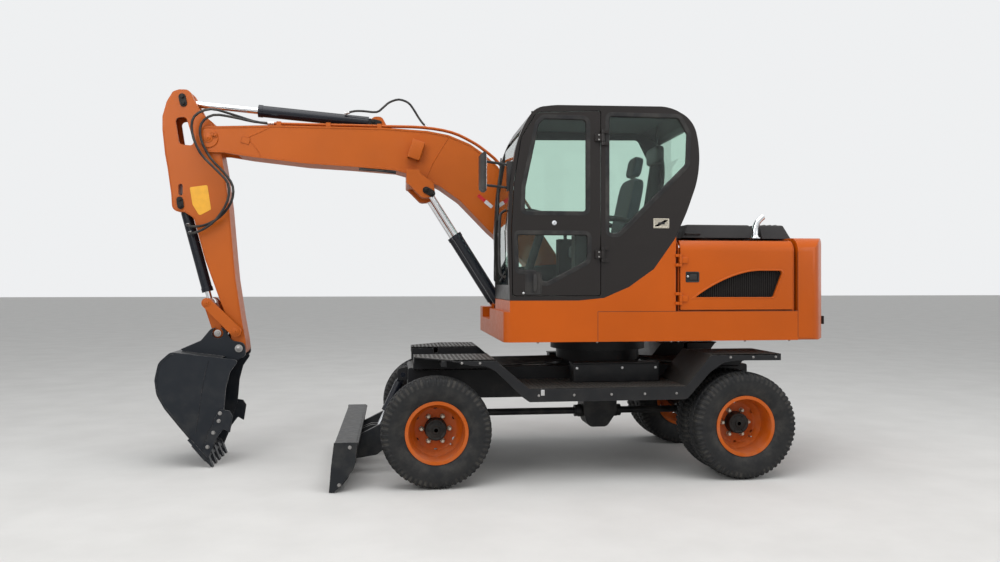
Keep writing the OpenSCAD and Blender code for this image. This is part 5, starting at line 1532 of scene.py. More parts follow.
    def vent(self) -> None:
        """Dark tray of the vent with upright louvres, each as tall as the opening at its place."""
        (tip_x, tip_z), (a, b) = self.vent_tip, self.vent_axes
        back = self.half - 0.050
        wall = carved(along("y", self.vent_line(0.006), back, self.half - self.sheet + 0.001),
                      along("y", self.vent_line(-0.001), back + 0.004, self.half))
        louvres = []
        for x in np.arange(-1.285, -0.600, 0.018):
            reach = min(max((x - tip_x) / a, 0.0), 1.0)
            high = tip_z + b * math.sqrt(1 - reach**2) - 0.003
            low = tip_z + 0.003 if x > -1.226 else tip_z + b * (-1.230 - x) / 0.082
            if high - low > 0.012:
                blade = np.array([(x, back + 0.003), (x + 0.003, back + 0.003), (x + 0.013, back + 0.020),
                                  (x + 0.010, back + 0.020)])
                louvres.append(along("z", blade, low, high))
        self.add(Mesh.joined([wall, *louvres]), "hatch_vent", "side_hatch", VENT_AND_SHADE_BLACK, 30.0)

    def latch(self) -> None:
        """Latch in its pocket: a black moulding, a paddle and a bright lock."""
        pocket = rounded_outline([(-0.602, 1.585, 0.008), (-0.496, 1.585, 0.008), (-0.496, 1.663, 0.008),
                                  (-0.602, 1.663, 0.008)])
        rim = carried_round(pocket, np.array([(-0.004, 0.0), (-0.003, 0.0022), (0.002, 0.0024), (0.005, 0.0),
                                              (0.006, -0.0115), (0.0, -0.0118)]), self.half)
        floor_plate = side_plate(inset(pocket, 0.001), self.half - 0.0119, 0.0012, 0.0003)
        paddle = pillow((0.060, 0.010, 0.046), np.array([-0.556, self.half - 0.006, 1.624]), 0.3, 12, 24)
        self.add(Mesh.joined([rim, floor_plate, paddle]), "hatch_latch", "side_hatch", PLASTIC_BLACK)
        lock = turned(np.array([(0, 0), (0.0085, 0), (0.0085, 0.0095), (0.0065, 0.0112), (0, 0.0114)]),
                      np.array([-0.512, self.half - 0.0105, 1.628]), np.array([0, 1.0, 0]), 20)
        self.add(lock, "hatch_lock", "side_hatch", BRIGHT_STEEL)

    def counterweight(self) -> None:
        """The cast counterweight: its plan, its side outline and its cross section, each bounding the
        last."""
        h, rear, low, top = self.half, self.rear - 0.0003, self.skirt_z, self.top_z
        wide, ahead, under, over = h + 0.0007, rear + 0.05, low + 0.0006, top - 0.0006
        plan = rounded_outline([(ahead, -wide, 0), (-1.615, -wide, 0.12), (self.tail, -0.6, 0.38),
                                (self.tail, 0.6, 0.38), (-1.615, wide, 0.12), (ahead, wide, 0)], 12)
        side = rounded_outline([(rear, under, 0), (self.tail - 0.001, under, 0.03),
                                (self.tail - 0.001, 1.7, 0), (self.tail + 0.02, over, 0.13),
                                (rear, over, 0)], 10)
        across_it = rounded_outline([(-h, low, 0.028), (h, low, 0.028), (h, top, self.round_r),
                                     (-h, top, self.round_r)], 10)
        body = carved(along("x", across_it, self.tail - 0.05, ahead + 0.02),
                      along("z", plan, low - 0.05, top + 0.05), operation="INTERSECT")
        body = carved(body, along("y", side, -h - 0.05, h + 0.05), operation="INTERSECT")
        piece = self.add(body, "counterweight_casting", "house", BODY_ORANGE, 30.0)
        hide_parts("counterweight")
        for s, tag in ((1, "l"), (-1, "r")):
            lens = block((-1.838, s * 0.56 - 0.06, 1.235), (-1.822, s * 0.56 + 0.06, 1.285), 0.005, 0.006)
            frame_ = block((-1.832, s * 0.56 - 0.07, 1.225), (-1.818, s * 0.56 + 0.07, 1.295), 0.003)
            self.add(lens, f"rear_lamp_{tag}", "house", LENS_RED)
            self.add(frame_, f"rear_lamp_frame_{tag}", "house", PLASTIC_BLACK)

    def lid_form(self, front: float, rear: float, slopes: tuple[float, float], low: float,
                 wall: float = 0.0) -> Mesh:
        """A low box with sloped sides and its ends sloped by the two given amounts, or the room inside its
        wall."""
        top, half, slope = self.top_z + 0.118 - wall, 0.690 - wall, 0.050
        side = rounded_outline([(front - wall, low, 0), (front - wall - slopes[0], top + 0.0004, 0.018),
                                (rear + wall + slopes[1], top + 0.0004, 0.018), (rear + wall, low, 0)], 5)
        foot = half + 0.004
        across_it = rounded_outline([(-foot, low - 0.01, 0), (foot, low - 0.01, 0), (half - slope, top, 0.02),
                                     (slope - half, top, 0.02)], 5)
        return carved(along("y", side, -0.75, 0.75), along("x", across_it, rear - 0.05, front + 0.05),
                      operation="INTERSECT")

    def lid(self) -> None:
        """The engine lid with its handle and hinges, and the fixed cover behind it."""
        low = self.top_z + 0.005
        shell = carved(self.lid_form(-0.560, -1.190, (0.050, 0.040), low),
                       self.lid_form(-0.560, -1.190, (0.050, 0.040), low - 0.006, 0.012))
        x, z = self.lid_hinge
        barrels = [turned(np.array([(0, 0), (0.010, 0), (0.010, 0.06), (0, 0.06)]),
                          np.array([x, y - 0.03, z]), np.array([0, 1.0, 0]),
                          SMALL_TURN) for y in (-0.4, 0.4)]
        piece = self.add(Mesh.joined([shell, *barrels]), "engine_lid_shell", "engine_lid", LID_BLACK)
        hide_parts("engine_lid")
        grip = smooth_path(np.array([(-0.585, 0.70, 1.985), (-0.585, 0.716, 1.985), (-0.64, 0.716, 1.985),
                                     (-0.70, 0.716, 1.985), (-0.70, 0.70, 1.985)]) - [0, 0.026, 0], 5)
        self.add(tube(grip, 0.006, 12), "lid_handle", "engine_lid", PLASTIC_BLACK)
        cover = self.lid_form(-1.246, -1.500, (0.0, 0.050), self.top_z)
        ribs = [block((x0, -0.60, self.top_z + 0.116), (x0 + 0.02, 0.60, self.top_z + 0.124), 0.003)
                for x0 in np.arange(-1.42, -1.26, 0.05)]
        self.add(Mesh.joined([cover, *ribs]), "rear_cover", "house", LID_BLACK)

    def exhaust(self) -> None:
        """Chrome exhaust: a pipe that rises beside the lid and bends rearwards, with a collar at its foot and
        a black disc in its end that paints the shade and soot of the open bore.
        """
        x, y, z, r, bend = -1.150, 0.760, self.top_z, 0.026, 0.150
        a = np.radians(np.linspace(0, 58, 20))
        arc = np.stack([x - bend + bend * np.cos(a), np.full_like(a, y), z + 0.052 + bend * np.sin(a)], 1)
        foot = np.array([(x, y, z - 0.002), (x, y, z + 0.02), (x, y, z + 0.04)])
        path = np.vstack([foot, arc])
        collar = turned(np.array([(0, -0.002), (0.044, -0.002), (0.044, 0.005), (0.034, 0.008),
                                  (0.030, 0.020), (0, 0.020)]),
                        np.array([x, y, z]), np.array([0, 0, 1.0]), LARGE_TURN)
        piece = self.add(Mesh.joined([tube(path, r, 40), collar]), "exhaust_pipe", "house", CHROME)
        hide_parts("exhaust")
        end, back = path[-1], path[-1] - path[-2]
        back /= np.linalg.norm(back)
        # Painted shade with soot: a thin black disc at the pipe's end stands for the dark bore of the open
        # pipe, as the tube itself is closed
        mouth = turned(np.array([(0, 0.0), (r * 0.9, 0.0), (r * 0.9, 0.0012), (0, 0.0012)]),
                       end + back * 0.0004, back, 32)
        self.add(mouth, "exhaust_bore_soot_and_shade", "house", VENT_AND_SHADE_BLACK)

    def seams(self) -> None:
        """Narrow dark lines where the panels meet, and the bolts under the skirt."""
        y, w = self.half, 0.0016
        lines = [((-1.438, 1.3505), (0.225, 1.3505)), ((0.225, 1.125), (0.225, 1.3505)),
                 ((-1.441, 1.14), (-1.441, 1.83)), ((-0.412, 1.3505), (-0.412, 1.83))]
        strips = []
        for (x0, z0), (x1, z1) in lines:
            strips.append(block((min(x0, x1) - w, y - 0.0004, min(z0, z1) - w),
                                (max(x0, x1) + w, y + 0.0006, max(z0, z1) + w), 0.0002))
        self.add(Mesh.joined(strips), "panel_seams", "house", SEAL_AND_SHADE_BLACK)
        places = np.array([(px, s * 0.902, self.skirt_z) for px in (0.70, 0.225, -0.38, -0.44, -1.0, -1.38)
                           for s in (1, -1)])
        down = np.broadcast_to(axes_along(np.array([0, 0, -1.0])), (len(places), 3, 3))
        self.add(repeated(hex_bolt(0.016), places, down), "skirt_bolts", "house", DULL_STEEL)
        cap = turned(np.array([(0, 0), (0.050, 0), (0.050, 0.022), (0.044, 0.030), (0, 0.030)]),
                     np.array([0.30, -0.77, 1.800]), np.array([0, 0, 1.0]), 32)
        self.add(cap, "tank_cap", "house", PLASTIC_BLACK)

    def build(self) -> None:
        """Builds the shell."""
        self.hood()
        self.hatch()
        self.counterweight()
        self.lid()
        self.exhaust()
        self.seams()


@dataclass
class Platforms(Assembly):
    """Folded platforms over the wheels with the steps between them, their chequered tread, bolts and side
    box."""

    half: float = 0.950
    channel: float = 0.400
    chassis: float = 0.290
    sheet: float = 0.010
    front_z: float = 0.985
    rear_z: float = 1.006
    step_z: float = 0.755
    chassis_top: float = 0.862
    front_x: float = 1.493
    rear_x: float = -0.975

    def folded(self, side: Side) -> list[Mesh]:
        """The sheets of one side: outer band, bent sheet, platforms, channel walls and supports."""
        t, s = self.sheet, side.value
        band = rounded_outline([
            (1.390, self.front_z, 0), (1.390, self.front_z - t, 0), (1.222, self.front_z - 0.048, 0.06),
            (1.114, self.front_z - 0.052, 0.06), (1.040, self.front_z - 0.090, 0.09), (0.833, 0.693, 0.06),
            (0.774, self.step_z - 0.105, 0.03), (-0.496, self.step_z - 0.105, 0.06), (-0.687, 0.861, 0.12),
            (-0.800, 0.938, 0.14), (-0.900, 0.954, 0.06), (-1.285, self.rear_z - 0.054, 0),
            (-1.285, self.rear_z, 0), (-0.700, self.rear_z, 0), (-0.490, self.step_z, 0),
            (0.774, self.step_z, 0), (1.044, self.front_z, 0)], 8)
        line = np.array([(1.044, self.front_z), (0.774, self.step_z), (-0.490, self.step_z),
                         (-0.700, self.rear_z)])
        bent = np.vstack([line, (line - [0, t])[::-1]])
        wall_front = np.array([(1.660, self.front_z), (1.660, self.chassis_top - t),
                               (0.984, self.chassis_top - t), (0.984, self.front_z - 0.06),
                               (1.044, self.front_z)])
        wall_rear = np.array([(-0.640, self.rear_z - 0.08), (-0.640, self.chassis_top - t),
                              (-1.160, self.chassis_top - t), (-1.285, self.rear_z), (-0.700, self.rear_z)])
        plan_front = rounded_outline([(1.660, self.channel, 0), (1.660, 0.660, 0.03),
                                      (1.380, self.half, 0.04), (1.042, self.half, 0),
                                      (1.042, self.channel, 0)])
        plan_rear = rounded_outline([(-0.698, self.channel, 0), (-0.698, self.half, 0),
                                     (-1.285, self.half, 0.03), (-1.285, self.channel, 0)])
        parts = [along("y", band, self.half - t, self.half, 0.0015),
                 along("y", bent, self.chassis, self.half - 0.001),
                 along("z", plan_front, self.front_z - t, self.front_z, 0.0015),
                 along("z", plan_rear, self.rear_z - t, self.rear_z, 0.0015),
                 along("y", wall_front, self.channel, self.channel + t),
                 along("y", wall_rear, self.channel, self.channel + t)]
        for x0, x1 in ((0.984, 1.660), (-1.160, -0.640)):
            parts.append(block((x0, self.chassis, self.chassis_top - t),
                               (x1, self.channel + t, self.chassis_top), 0.002))
        for x in (-0.410, 0.120, 0.720):
            parts.append(block((x - 0.02, self.chassis, self.step_z - 0.08),
                               (x + 0.02, self.half - t, self.step_z - t), 0.003))
        for x, z in ((self.rear_x, self.rear_z), (self.front_x - 0.06, self.front_z)):
            low = (x - 0.02, self.channel, z - 0.06)
            parts.append(block(low, (x + 0.02, self.half - 0.05, z - t), 0.003))
        # The front skirt of the platform hangs inside its chamfer
        parts.append(block((1.650, self.channel, self.front_z - 0.055),
                           (1.660, 0.655, self.front_z - 0.001), 0.002))
        return [part.moved(np.diag([1.0, s, 1.0]), np.zeros(3)).outward() for part in parts]

    def tread(self, x0: float, x1: float, y0: float, y1: float, z: float, cut_corner: bool = False) -> Mesh:
        """Chequer pattern: short raised bars on a grid, turned one way and the other in turn."""
        lozenge = np.array([(-0.015, 0), (-0.010, -0.0034), (0.010, -0.0034), (0.015, 0), (0.010, 0.0034),
                            (-0.010, 0.0034)])
        bar = plate(lozenge, np.array([0, 0, -0.0006]), np.array([1.0, 0, 0]), np.array([0, 1.0, 0]),
                    0.0020, 0.0008, 1)
        pitch = 0.036
        gx, gy = np.meshgrid(np.arange(x0 + 0.02, x1 - 0.015, pitch),
                             np.arange(y0 + 0.02, y1 - 0.015, pitch), indexing="ij")
        odd = (np.add.outer(np.arange(gx.shape[0]), np.arange(gx.shape[1])) % 2).ravel()
        places = np.stack([gx.ravel(), gy.ravel(), np.full(gx.size, z)], 1)
        if cut_corner:
            keep = (places[:, 0] - 1.36) / 0.28 + (places[:, 1] - 0.64) / 0.29 < 1.0
            places, odd = places[keep], odd[keep]
        angle = np.where(odd, math.pi / 4, -math.pi / 4)
        c, s, o, one = np.cos(angle), np.sin(angle), np.zeros_like(angle), np.ones_like(angle)
        turn = np.stack([np.stack([c, -s, o], 1), np.stack([s, c, o], 1), np.stack([o, o, one], 1)], 1)
        return repeated(bar, places, turn)

    def build(self) -> None:
        """Builds both sides, their tread and what hangs on them."""
        sheets = self.folded(Side.LEFT) + self.folded(Side.RIGHT)
        piece = self.add(Mesh.joined(sheets), "platforms", "chassis", STEP_BLACK)
        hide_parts("fenders")
        fields = [self.tread(-0.490, 0.774, 0.300, 0.945, self.step_z),
                  self.tread(1.044, 1.655, 0.400, 0.945, self.front_z, True),
                  self.tread(-1.285, -0.700, 0.400, 0.945, self.rear_z)]
        both = fields + [f.moved(np.diag([1.0, -1.0, 1.0]), np.zeros(3)).outward() for f in fields]
        self.add(Mesh.joined(both), "chequer_tread", "chassis", STEP_BLACK)
        self.side_boxes()
        self.bolts()
        self.running_gear()

    def side_boxes(self) -> None:
        """Boxes on the steps beside the turntable, with lids, bolt heads and latches."""
        for s, tag in ((1, "l"), (-1, "r")):
            low, high = (-0.385, s * 0.60, 0.757), (0.350, s * 0.455, 0.905)
            lower, upper = np.minimum(low, high), np.maximum(low, high)
            shell = block(lower, upper, 0.006, 0.012)
            lid = block((lower[0] - 0.006, lower[1] - 0.006, upper[2]),
                        (upper[0] + 0.006, upper[1] + 0.006, upper[2] + 0.012), 0.004, 0.012)
            self.add(Mesh.joined([shell, lid]), f"side_box_{tag}", "chassis", CHASSIS_BLACK)
            out = np.array([0, float(s), 0])
            places = np.array([(x, s * 0.600, 0.872) for x in (0.319, -0.065, -0.350)])
            turn = np.broadcast_to(axes_along(out), (3, 3, 3))
            heads = repeated(hex_bolt(0.014), places, turn)
            self.add(heads, f"side_box_bolts_{tag}", "chassis", BRIGHT_STEEL)
            latch = block((0.655, s * 0.9485 - 0.004, 0.700),
                          (0.685, s * 0.9485 + 0.007, 0.745), 0.002, 0.003)
            self.add(latch, f"step_latch_{tag}", "chassis", BRIGHT_STEEL)

    def bolts(self) -> None:
        """Bolt heads along the outer bands and the platforms' corners."""
        rows = [(1.30, 0.960), (1.16, 0.958), (0.70, 0.700), (0.42, 0.700), (0.12, 0.700), (-0.15, 0.700),
                (-0.41, 0.700), (-0.86, 0.980), (-1.05, 0.980), (-1.24, 0.980)]
        places = np.array([(x, s * (self.half - 0.0005), z) for x, z in rows for s in (1, -1)])
        turns = np.stack([axes_along(np.array([0, s, 0.0])) for _ in rows for s in (1.0, -1.0)])
        self.add(repeated(hex_bolt(0.013), places, turns), "band_bolts", "chassis", DULL_STEEL)

    def running_gear(self) -> None:
        """Chassis details: gear case covers with their bolts, propeller shaft joints, brake lines and the
        swivel's hoses."""
        pieces = []
        for x, out in ((self.front_x, 1.0), (self.rear_x, -1.0)):
            t = np.arange(12) * 2 * math.pi / 12
            ring = np.stack([np.full(12, x + out * 0.110), 0.098 * np.cos(t), 0.43 + 0.098 * np.sin(t)], 1)
            outwards = np.array([out, 0, 0])
            profile = np.array([(0, 0), (0.118, 0), (0.118, 0.012), (0.080, 0.050), (0.03, 0.062),
                                (0, 0.062)])
            pieces.append(turned(profile, np.array([x + out * 0.098, 0, 0.43]), outwards, 40))
            turns = np.broadcast_to(axes_along(outwards), (12, 3, 3))
            pieces.append(repeated(hex_bolt(0.015), ring, turns))
            # Brake lines lie along each axle beam
            for s in (1, -1):
                knots = np.array([(x - 0.09, s * 0.10, 0.56), (x - 0.086, s * 0.22, 0.525),
                                  (x - 0.088, s * 0.40, 0.50), (x - 0.070, s * 0.56, 0.49)])
                pieces.append(tube(smooth_path(knots, 6), 0.005, 8))
        for x in (0.155, -0.155, self.front_x - 0.20, self.rear_x + 0.20):
            joint = np.array([(0, -0.03), (0.050, -0.03), (0.056, -0.02), (0.056, 0.02),
                              (0.050, 0.03), (0, 0.03)])
            pieces.append(turned(joint, np.array([x, 0, 0.43]), np.array([1.0, 0, 0]), 28))
        self.add(Mesh.joined(pieces), "running_gear_trim", "chassis", CHASSIS_BLACK)
        hoses = []
        for k in range(7):
            y = -0.33 + 0.11 * k
            knots = np.array([(0.36, y * 0.5, 0.905), (0.62, y * 0.8, 0.892), (0.90, y, 0.884),
                              (1.22, y, 0.882), (1.46, y * 0.9, 0.884), (1.60, y * 0.5, 0.878)])
            hoses.append(tube(smooth_path(knots, 8), 0.012, 12))
        for k in range(4):
            y = -0.24 + 0.16 * k
            knots = np.array([(-0.36, y * 0.6, 0.905), (-0.62, y, 0.884), (-0.95, y, 0.882),
                              (-1.20, y, 0.880)])
            hoses.append(tube(smooth_path(knots, 8), 0.012, 12))
        self.add(Mesh.joined(hoses), "swivel_lines", "chassis", HOSE_BLACK)
        # Valve block under the front of the house, on the chassis' top plate
        valve = block((0.50, -0.20, 0.862), (0.72, 0.20, 0.868), 0.002, 0.01)
        clamps = [block((x - 0.018, -0.36, 0.862), (x + 0.018, 0.36, 0.8765), 0.003) for x in (0.95, 1.30)]
        self.add(Mesh.joined([valve, *clamps]), "line_clamps", "chassis", DULL_STEEL)


@dataclass
class ArmTrim(Assembly):
    """Lips, weld seams, pins, plates, lamp and lines of the boom and stick."""

    arm_y: float = -0.340
    boom_half: float = 0.143
    stick_half: float = 0.113
    lip: float = 0.005
    boom_foot: tuple[float, float] = (0.400, 1.690)
    stick_pivot: tuple[float, float] = (3.429, 2.844)
    rocker_pivot: tuple[float, float] = (3.193, 1.154)
    rocker_eye: tuple[float, float] = (3.437, 1.402)
    link_eye: tuple[float, float] = (3.349, 1.137)
    bucket_pivot: tuple[float, float] = (3.168, 1.002)
    boom_line: tuple = ((0.300, 1.640, 0.090), (0.430, 1.580, 0.090), (0.660, 1.790, 0.0),
                        (0.957, 2.049, 0.060), (1.225, 2.323, 0.200), (1.406, 2.449, 0.120),
                        (1.606, 2.535, 0.100), (1.805, 2.588, 0.060), (2.198, 2.615, 0.200),
                        (2.585, 2.634, 0.200), (3.082, 2.687, 0.060), (3.289, 2.718, 0.060),
                        (3.470, 2.720, 0.110), (3.560, 2.844, 0.110), (3.470, 2.950, 0.100),
                        (3.345, 2.950, 0.060), (2.873, 2.970, 0.400), (1.884, 2.970, 0.300),
                        (1.516, 2.950, 0.200), (1.327, 2.917, 0.160), (1.135, 2.841, 0.160),
                        (1.008, 2.754, 0.100), (0.880, 2.642, 0.060), (0.330, 1.830, 0.160))
    stick_line: tuple = ((3.684, 3.270, 0.060), (3.735, 3.250, 0.030), (3.786, 3.162, 0.060),
                         (3.822, 3.032, 0.060), (3.822, 2.913, 0.100), (3.800, 2.700, 0.0),
                         (3.778, 2.577, 0.0), (3.748, 2.352, 0.0), (3.739, 2.200, 0.060),
                         (3.640, 2.200, 0.040), (3.558, 2.145, 0.060), (3.462, 1.781, 0.0),
                         (3.342, 1.440, 0.100), (3.258, 1.230, 0.060), (3.244, 1.150, 0.0),
                         (3.236, 0.940, 0.060), (3.104, 0.940, 0.060), (3.120, 1.083, 0.030),
                         (3.151, 1.254, 0.0), (3.203, 1.603, 0.0), (3.220, 1.782, 0.0),
                         (3.259, 2.246, 0.100), (3.298, 2.541, 0.0), (3.335, 2.760, 0.060),
                         (3.385, 2.976, 0.060), (3.501, 3.072, 0.060), (3.600, 3.270, 0.050))

    def bead(self, path: Array, radius: float, closed: bool = False) -> Mesh:
        """A weld bead: a tube whose radius ripples along its length every 8 mm."""
        path = np.asarray(path, float)
        ring = np.vstack([path, path[:1]]) if closed else path
        step = np.linalg.norm(np.diff(ring, axis=0), axis=1)
        reach = np.concatenate([[0], np.cumsum(step)])
        at = np.arange(0, reach[-1], 0.008)
        line = np.stack([np.interp(at, reach, ring[:, k]) for k in range(3)], 1)
        return tube(line, radius * (1 + 0.10 * np.sin(np.arange(len(line)) * math.pi / 2 + 0.4)), 6, closed)

    def laid(self, outline: Array, offset: float, side: int) -> Array:
        """Points of an outline laid at a distance from the arm's middle plane."""
        return np.insert(outline, 1, self.arm_y + side * offset, axis=1)

    def lips(self) -> None:
        """The boom's top and bottom plates stand out over its side plates, with a weld bead in each
        corner."""
        outline = rounded_outline(list(self.boom_line), 8)
        inner = inset(outline, 0.014)
        front = box((0.80, -1.0, 1.0), (3.80, 1.0, 3.5))
        strips, beads = [], []
        for s in (1, -1):
            low, high = sorted((self.arm_y + s * (self.boom_half - 0.001),
                                self.arm_y + s * (self.boom_half + self.lip)))
            ring = carved(along("y", outline, low, high, 0.001), along("y", inner, low - 0.01, high + 0.01))
            strips.append(carved(ring, front, operation="INTERSECT"))
            seam = self.laid(inset(outline, 0.0155), self.boom_half + 0.0005, s)
            keep = seam[:, 0] > 0.82
            start = int(np.argmin(keep))
            seam = np.roll(seam, -start, axis=0)
            beads.append(self.bead(seam[seam[:, 0] > 0.82], 0.0035))
            chevron = np.array([(2.905, 2.952), (2.990, 2.905), (3.085, 2.855), (3.050, 2.800),
                                (3.010, 2.745), (2.985, 2.700)])
            beads.append(self.bead(self.laid(smooth_path(np.insert(chevron, 1, 0, axis=1), 4)[:, [0, 2]],
                                             self.boom_half + 0.0003, s), 0.0042))
            bend = np.array([(1.325, 2.900), (1.400, 2.780), (1.470, 2.660), (1.530, 2.520)])
            beads.append(self.bead(self.laid(bend, self.boom_half + 0.0003, s), 0.0042))
        self.add(Mesh.joined(strips), "boom_lips", "boom", ARM_ORANGE)
        self.add(Mesh.joined(beads), "boom_welds", "boom", ARM_ORANGE, 60.0)
        edges = []
        stick = rounded_outline(list(self.stick_line), 8)
        for s in (1, -1):
            loop = self.laid(inset(stick, 0.010), self.stick_half + 0.0002, s)
            keep = (loop[:, 2] < 3.02) & (loop[:, 2] > 1.24)
            right = loop[keep & (loop[:, 0] > 3.25 + (loop[:, 2] - 1.2) * 0.16)]
            left = loop[keep & (loop[:, 0] <= 3.25 + (loop[:, 2] - 1.2) * 0.16)]
            for run in (right, left):
                run = run[np.argsort(run[:, 2])]
                edges.append(self.bead(run, 0.0032))
        self.add(Mesh.joined(edges), "stick_welds", "stick", ARM_ORANGE, 60.0)

    def boss(self, place: tuple[float, float], offset: float, side: int, r: float, depth: float) -> Mesh:
        """A turned boss with a chamfered rim on a side plate."""
        centre = np.array([place[0], self.arm_y + side * offset, place[1]])
        profile = np.array([(0, -0.002), (r, -0.002), (r, depth - 0.003), (r - 0.003, depth), (0, depth)])
        return turned(profile, centre, np.array([0, side, 0.0]), LARGE_TURN)

    def pin(self, place: tuple[float, float], offset: float, side: int, r: float) -> Mesh:
        """The end of a pin: a chamfered washer, its head and a grease nipple."""
        centre = np.array([place[0], self.arm_y + side * offset, place[1]])
        out = np.array([0, side, 0.0])
        head = turned(np.array([(0, 0.0002), (r + 0.008, 0.0002), (r + 0.008, 0.0032), (r + 0.004, 0.0042),
                                (r * 0.82, 0.0042), (r * 0.78, 0.0088), (r * 0.70, 0.0105),
                                (0, 0.0105)]), centre, out, 40)
        nipple = turned(np.array([(0, 0.009), (0.005, 0.009), (0.005, 0.013), (0.0032, 0.0145),
                                  (0.0032, 0.017), (0.0042, 0.0185), (0.003, 0.021),
                                  (0, 0.0212)]), centre, out, 12)
        return Mesh.joined([head, nipple])

    def keeper(self, middle: tuple[float, float], offset: float, side: int, size: tuple[float, float],
               lean: float, thick: float = 0.010) -> Mesh:
        """A keeper plate with round ends and two bolts over a pin."""
        flat = along("y", capsule(size[0], size[1], middle, lean, 10), 0.0, thick, 0.0025)
        low = self.arm_y + side * offset
        flat = flat.moved(np.diag([1.0, side, 1.0]), np.array([0, low, 0])).outward()
        a = math.radians(lean)
        reach = size[0] / 2 - size[1] / 2
        ends = np.array([[middle[0] + k * reach * math.sin(a), low + side * thick,
                          middle[1] + k * reach * math.cos(a)]
                         for k in (-1, 1)])
        heads = repeated(hex_bolt(size[1] * 0.42), ends,
                         np.broadcast_to(axes_along(np.array([0, side, 0.0])), (2, 3, 3)))
        return Mesh.joined([flat, heads])

    def pins(self) -> None:
        """Bosses, pin ends and keepers on both sides of each joint."""
        bosses, boom, black, stick, tube_ends = [], [], [], [], []
        for s in (1, -1):
            bosses += [self.boss(self.stick_pivot, self.boom_half, s, 0.084, 0.0105)]
            boom += [self.pin(self.stick_pivot, 0.155, s, 0.032), self.pin(self.boom_foot, 0.172, s, 0.040)]
            boom.append(self.keeper((3.380, 2.868), self.boom_half + 0.0105, s, (0.064, 0.050), 80.0, 0.004))
            black.append(self.keeper((1.511, 2.385), 0.285, s, (0.120, 0.062), 60.0))
            stick += [self.keeper((3.650, 3.176), self.stick_half, s, (0.118, 0.060), 12.0)]
            tube_ends += [self.keeper((3.670, 2.276), 0.121, s, (0.110, 0.056), 8.0, 0.006)]
        self.add(Mesh.joined(bosses), "boom_bosses", "boom", ARM_ORANGE)
        self.add(Mesh.joined(boom), "boom_pins", "boom", ARM_ORANGE)
        self.add(Mesh.joined(stick), "stick_keepers", "stick", HUB_BLACK)
        self.add(Mesh.joined(tube_ends), "bucket_cylinder_keepers", "bucket_cylinder", HUB_BLACK)
        self.add(Mesh.joined(black), "boom_keepers", "boom", HUB_BLACK)
        rocker = [self.pin(self.rocker_pivot, 0.177, s, 0.024) for s in (1, -1)]
        rocker += [self.pin(self.rocker_eye, 0.171, s, 0.024) for s in (1, -1)]
        self.add(Mesh.joined(rocker), "rocker_pins", "rocker", ARM_ORANGE)
        link = [self.pin(self.link_eye, 0.142, s, 0.022) for s in (1, -1)]
        self.add(Mesh.joined(link), "link_pins", "link", DULL_STEEL)
        bucket = [self.pin(self.bucket_pivot, 0.150, s, 0.026) for s in (1, -1)]
        self.add(Mesh.joined(bucket), "bucket_pins", "bucket", DULL_STEEL)
        cylinder = [self.keeper((1.980, 3.029), 0.064, s, (0.106, 0.054), 78.0, 0.006) for s in (1, -1)]
        self.add(Mesh.joined(cylinder), "stick_cylinder_keepers", "stick_cylinder", HUB_BLACK)

    def openings(self) -> None:
        """The stick as packed, with the two openings of its side plates cut through and hollow between
        them."""
        upper = rounded_outline([(3.549, 2.779, 0.03), (3.681, 2.789, 0.04), (3.7165, 3.021, 0.036),
                                 (3.624, 3.0315, 0.036)])
        room = rounded_outline([(3.535, 2.740, 0.03), (3.745, 2.750, 0.03), (3.772, 3.060, 0),
                                (3.575, 3.060, 0)])
        lower = capsule(0.104, 0.036, (3.670, 2.392), 0.0, 10)
        inner = self.stick_half - 0.016
        stick = Mesh.read(frame["nodes"]["stick"].data)
        body = carved(stick, along("y", upper, -0.60, -0.10), along("y", lower, -0.60, -0.10),
                      along("y", room, self.arm_y - inner, self.arm_y + inner))
        piece = self.add(body, "stick_plates", "stick", ARM_ORANGE, 30.0)
        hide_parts("stick")

    def plates(self) -> None:
        """Blank yellow plate, reflector, nose plate and the rubber strip under the boom."""
        y = self.arm_y + self.stick_half
        sheet = rounded_outline([(3.443, 2.436, 0.014), (3.593, 2.414, 0.014), (3.568, 2.262, 0.03),
                                 (3.511, 2.166, 0.02), (3.411, 2.222, 0.014)])
        self.add(along("y", sheet, y + 0.0002, y + 0.0022, 0.0006), "stick_plate", "stick", PLATE_YELLOW)
        web = self.arm_y + self.boom_half
        nose = rounded_outline([(3.085, 2.792, 0.004), (3.155, 2.812, 0.004), (3.140, 2.868, 0.004),
                                (3.070, 2.848, 0.004)])
        self.add(along("y", nose, web - 0.001, web + 0.006, 0.0015), "nose_plate", "boom", ARM_ORANGE)
        along_boom = np.array([0.923 - 1.060, 2.261 - 2.377])
        along_boom /= np.linalg.norm(along_boom)
        up = np.array([-along_boom[1], along_boom[0]]) * 0.016
        start = np.array([1.060, 2.377])
        for k, finish, name in ((0, REFLECTOR_RED, "reflector_red"), (1, REFLECTOR_WHITE, "reflector_white")):
            p, q = start + along_boom * 0.085 * k, start + along_boom * 0.085 * (k + 1)
            corners = [(*(p - up), 0.001), (*(q - up), 0.001), (*(q + up), 0.001), (*(p + up), 0.001)]
            foil = along("y", rounded_outline(corners), web + 0.0002, web + 0.0014, 0.0003)
            self.add(foil, name, "boom", finish)
        strip = smooth_path(np.array([(1.800, web - 0.012, 2.571), (1.960, web - 0.012, 2.588),
                                      (2.130, web - 0.012, 2.596)]), 8)
        self.add(tube(strip, 0.012, 12), "boom_underline", "boom", HOSE_BLACK)

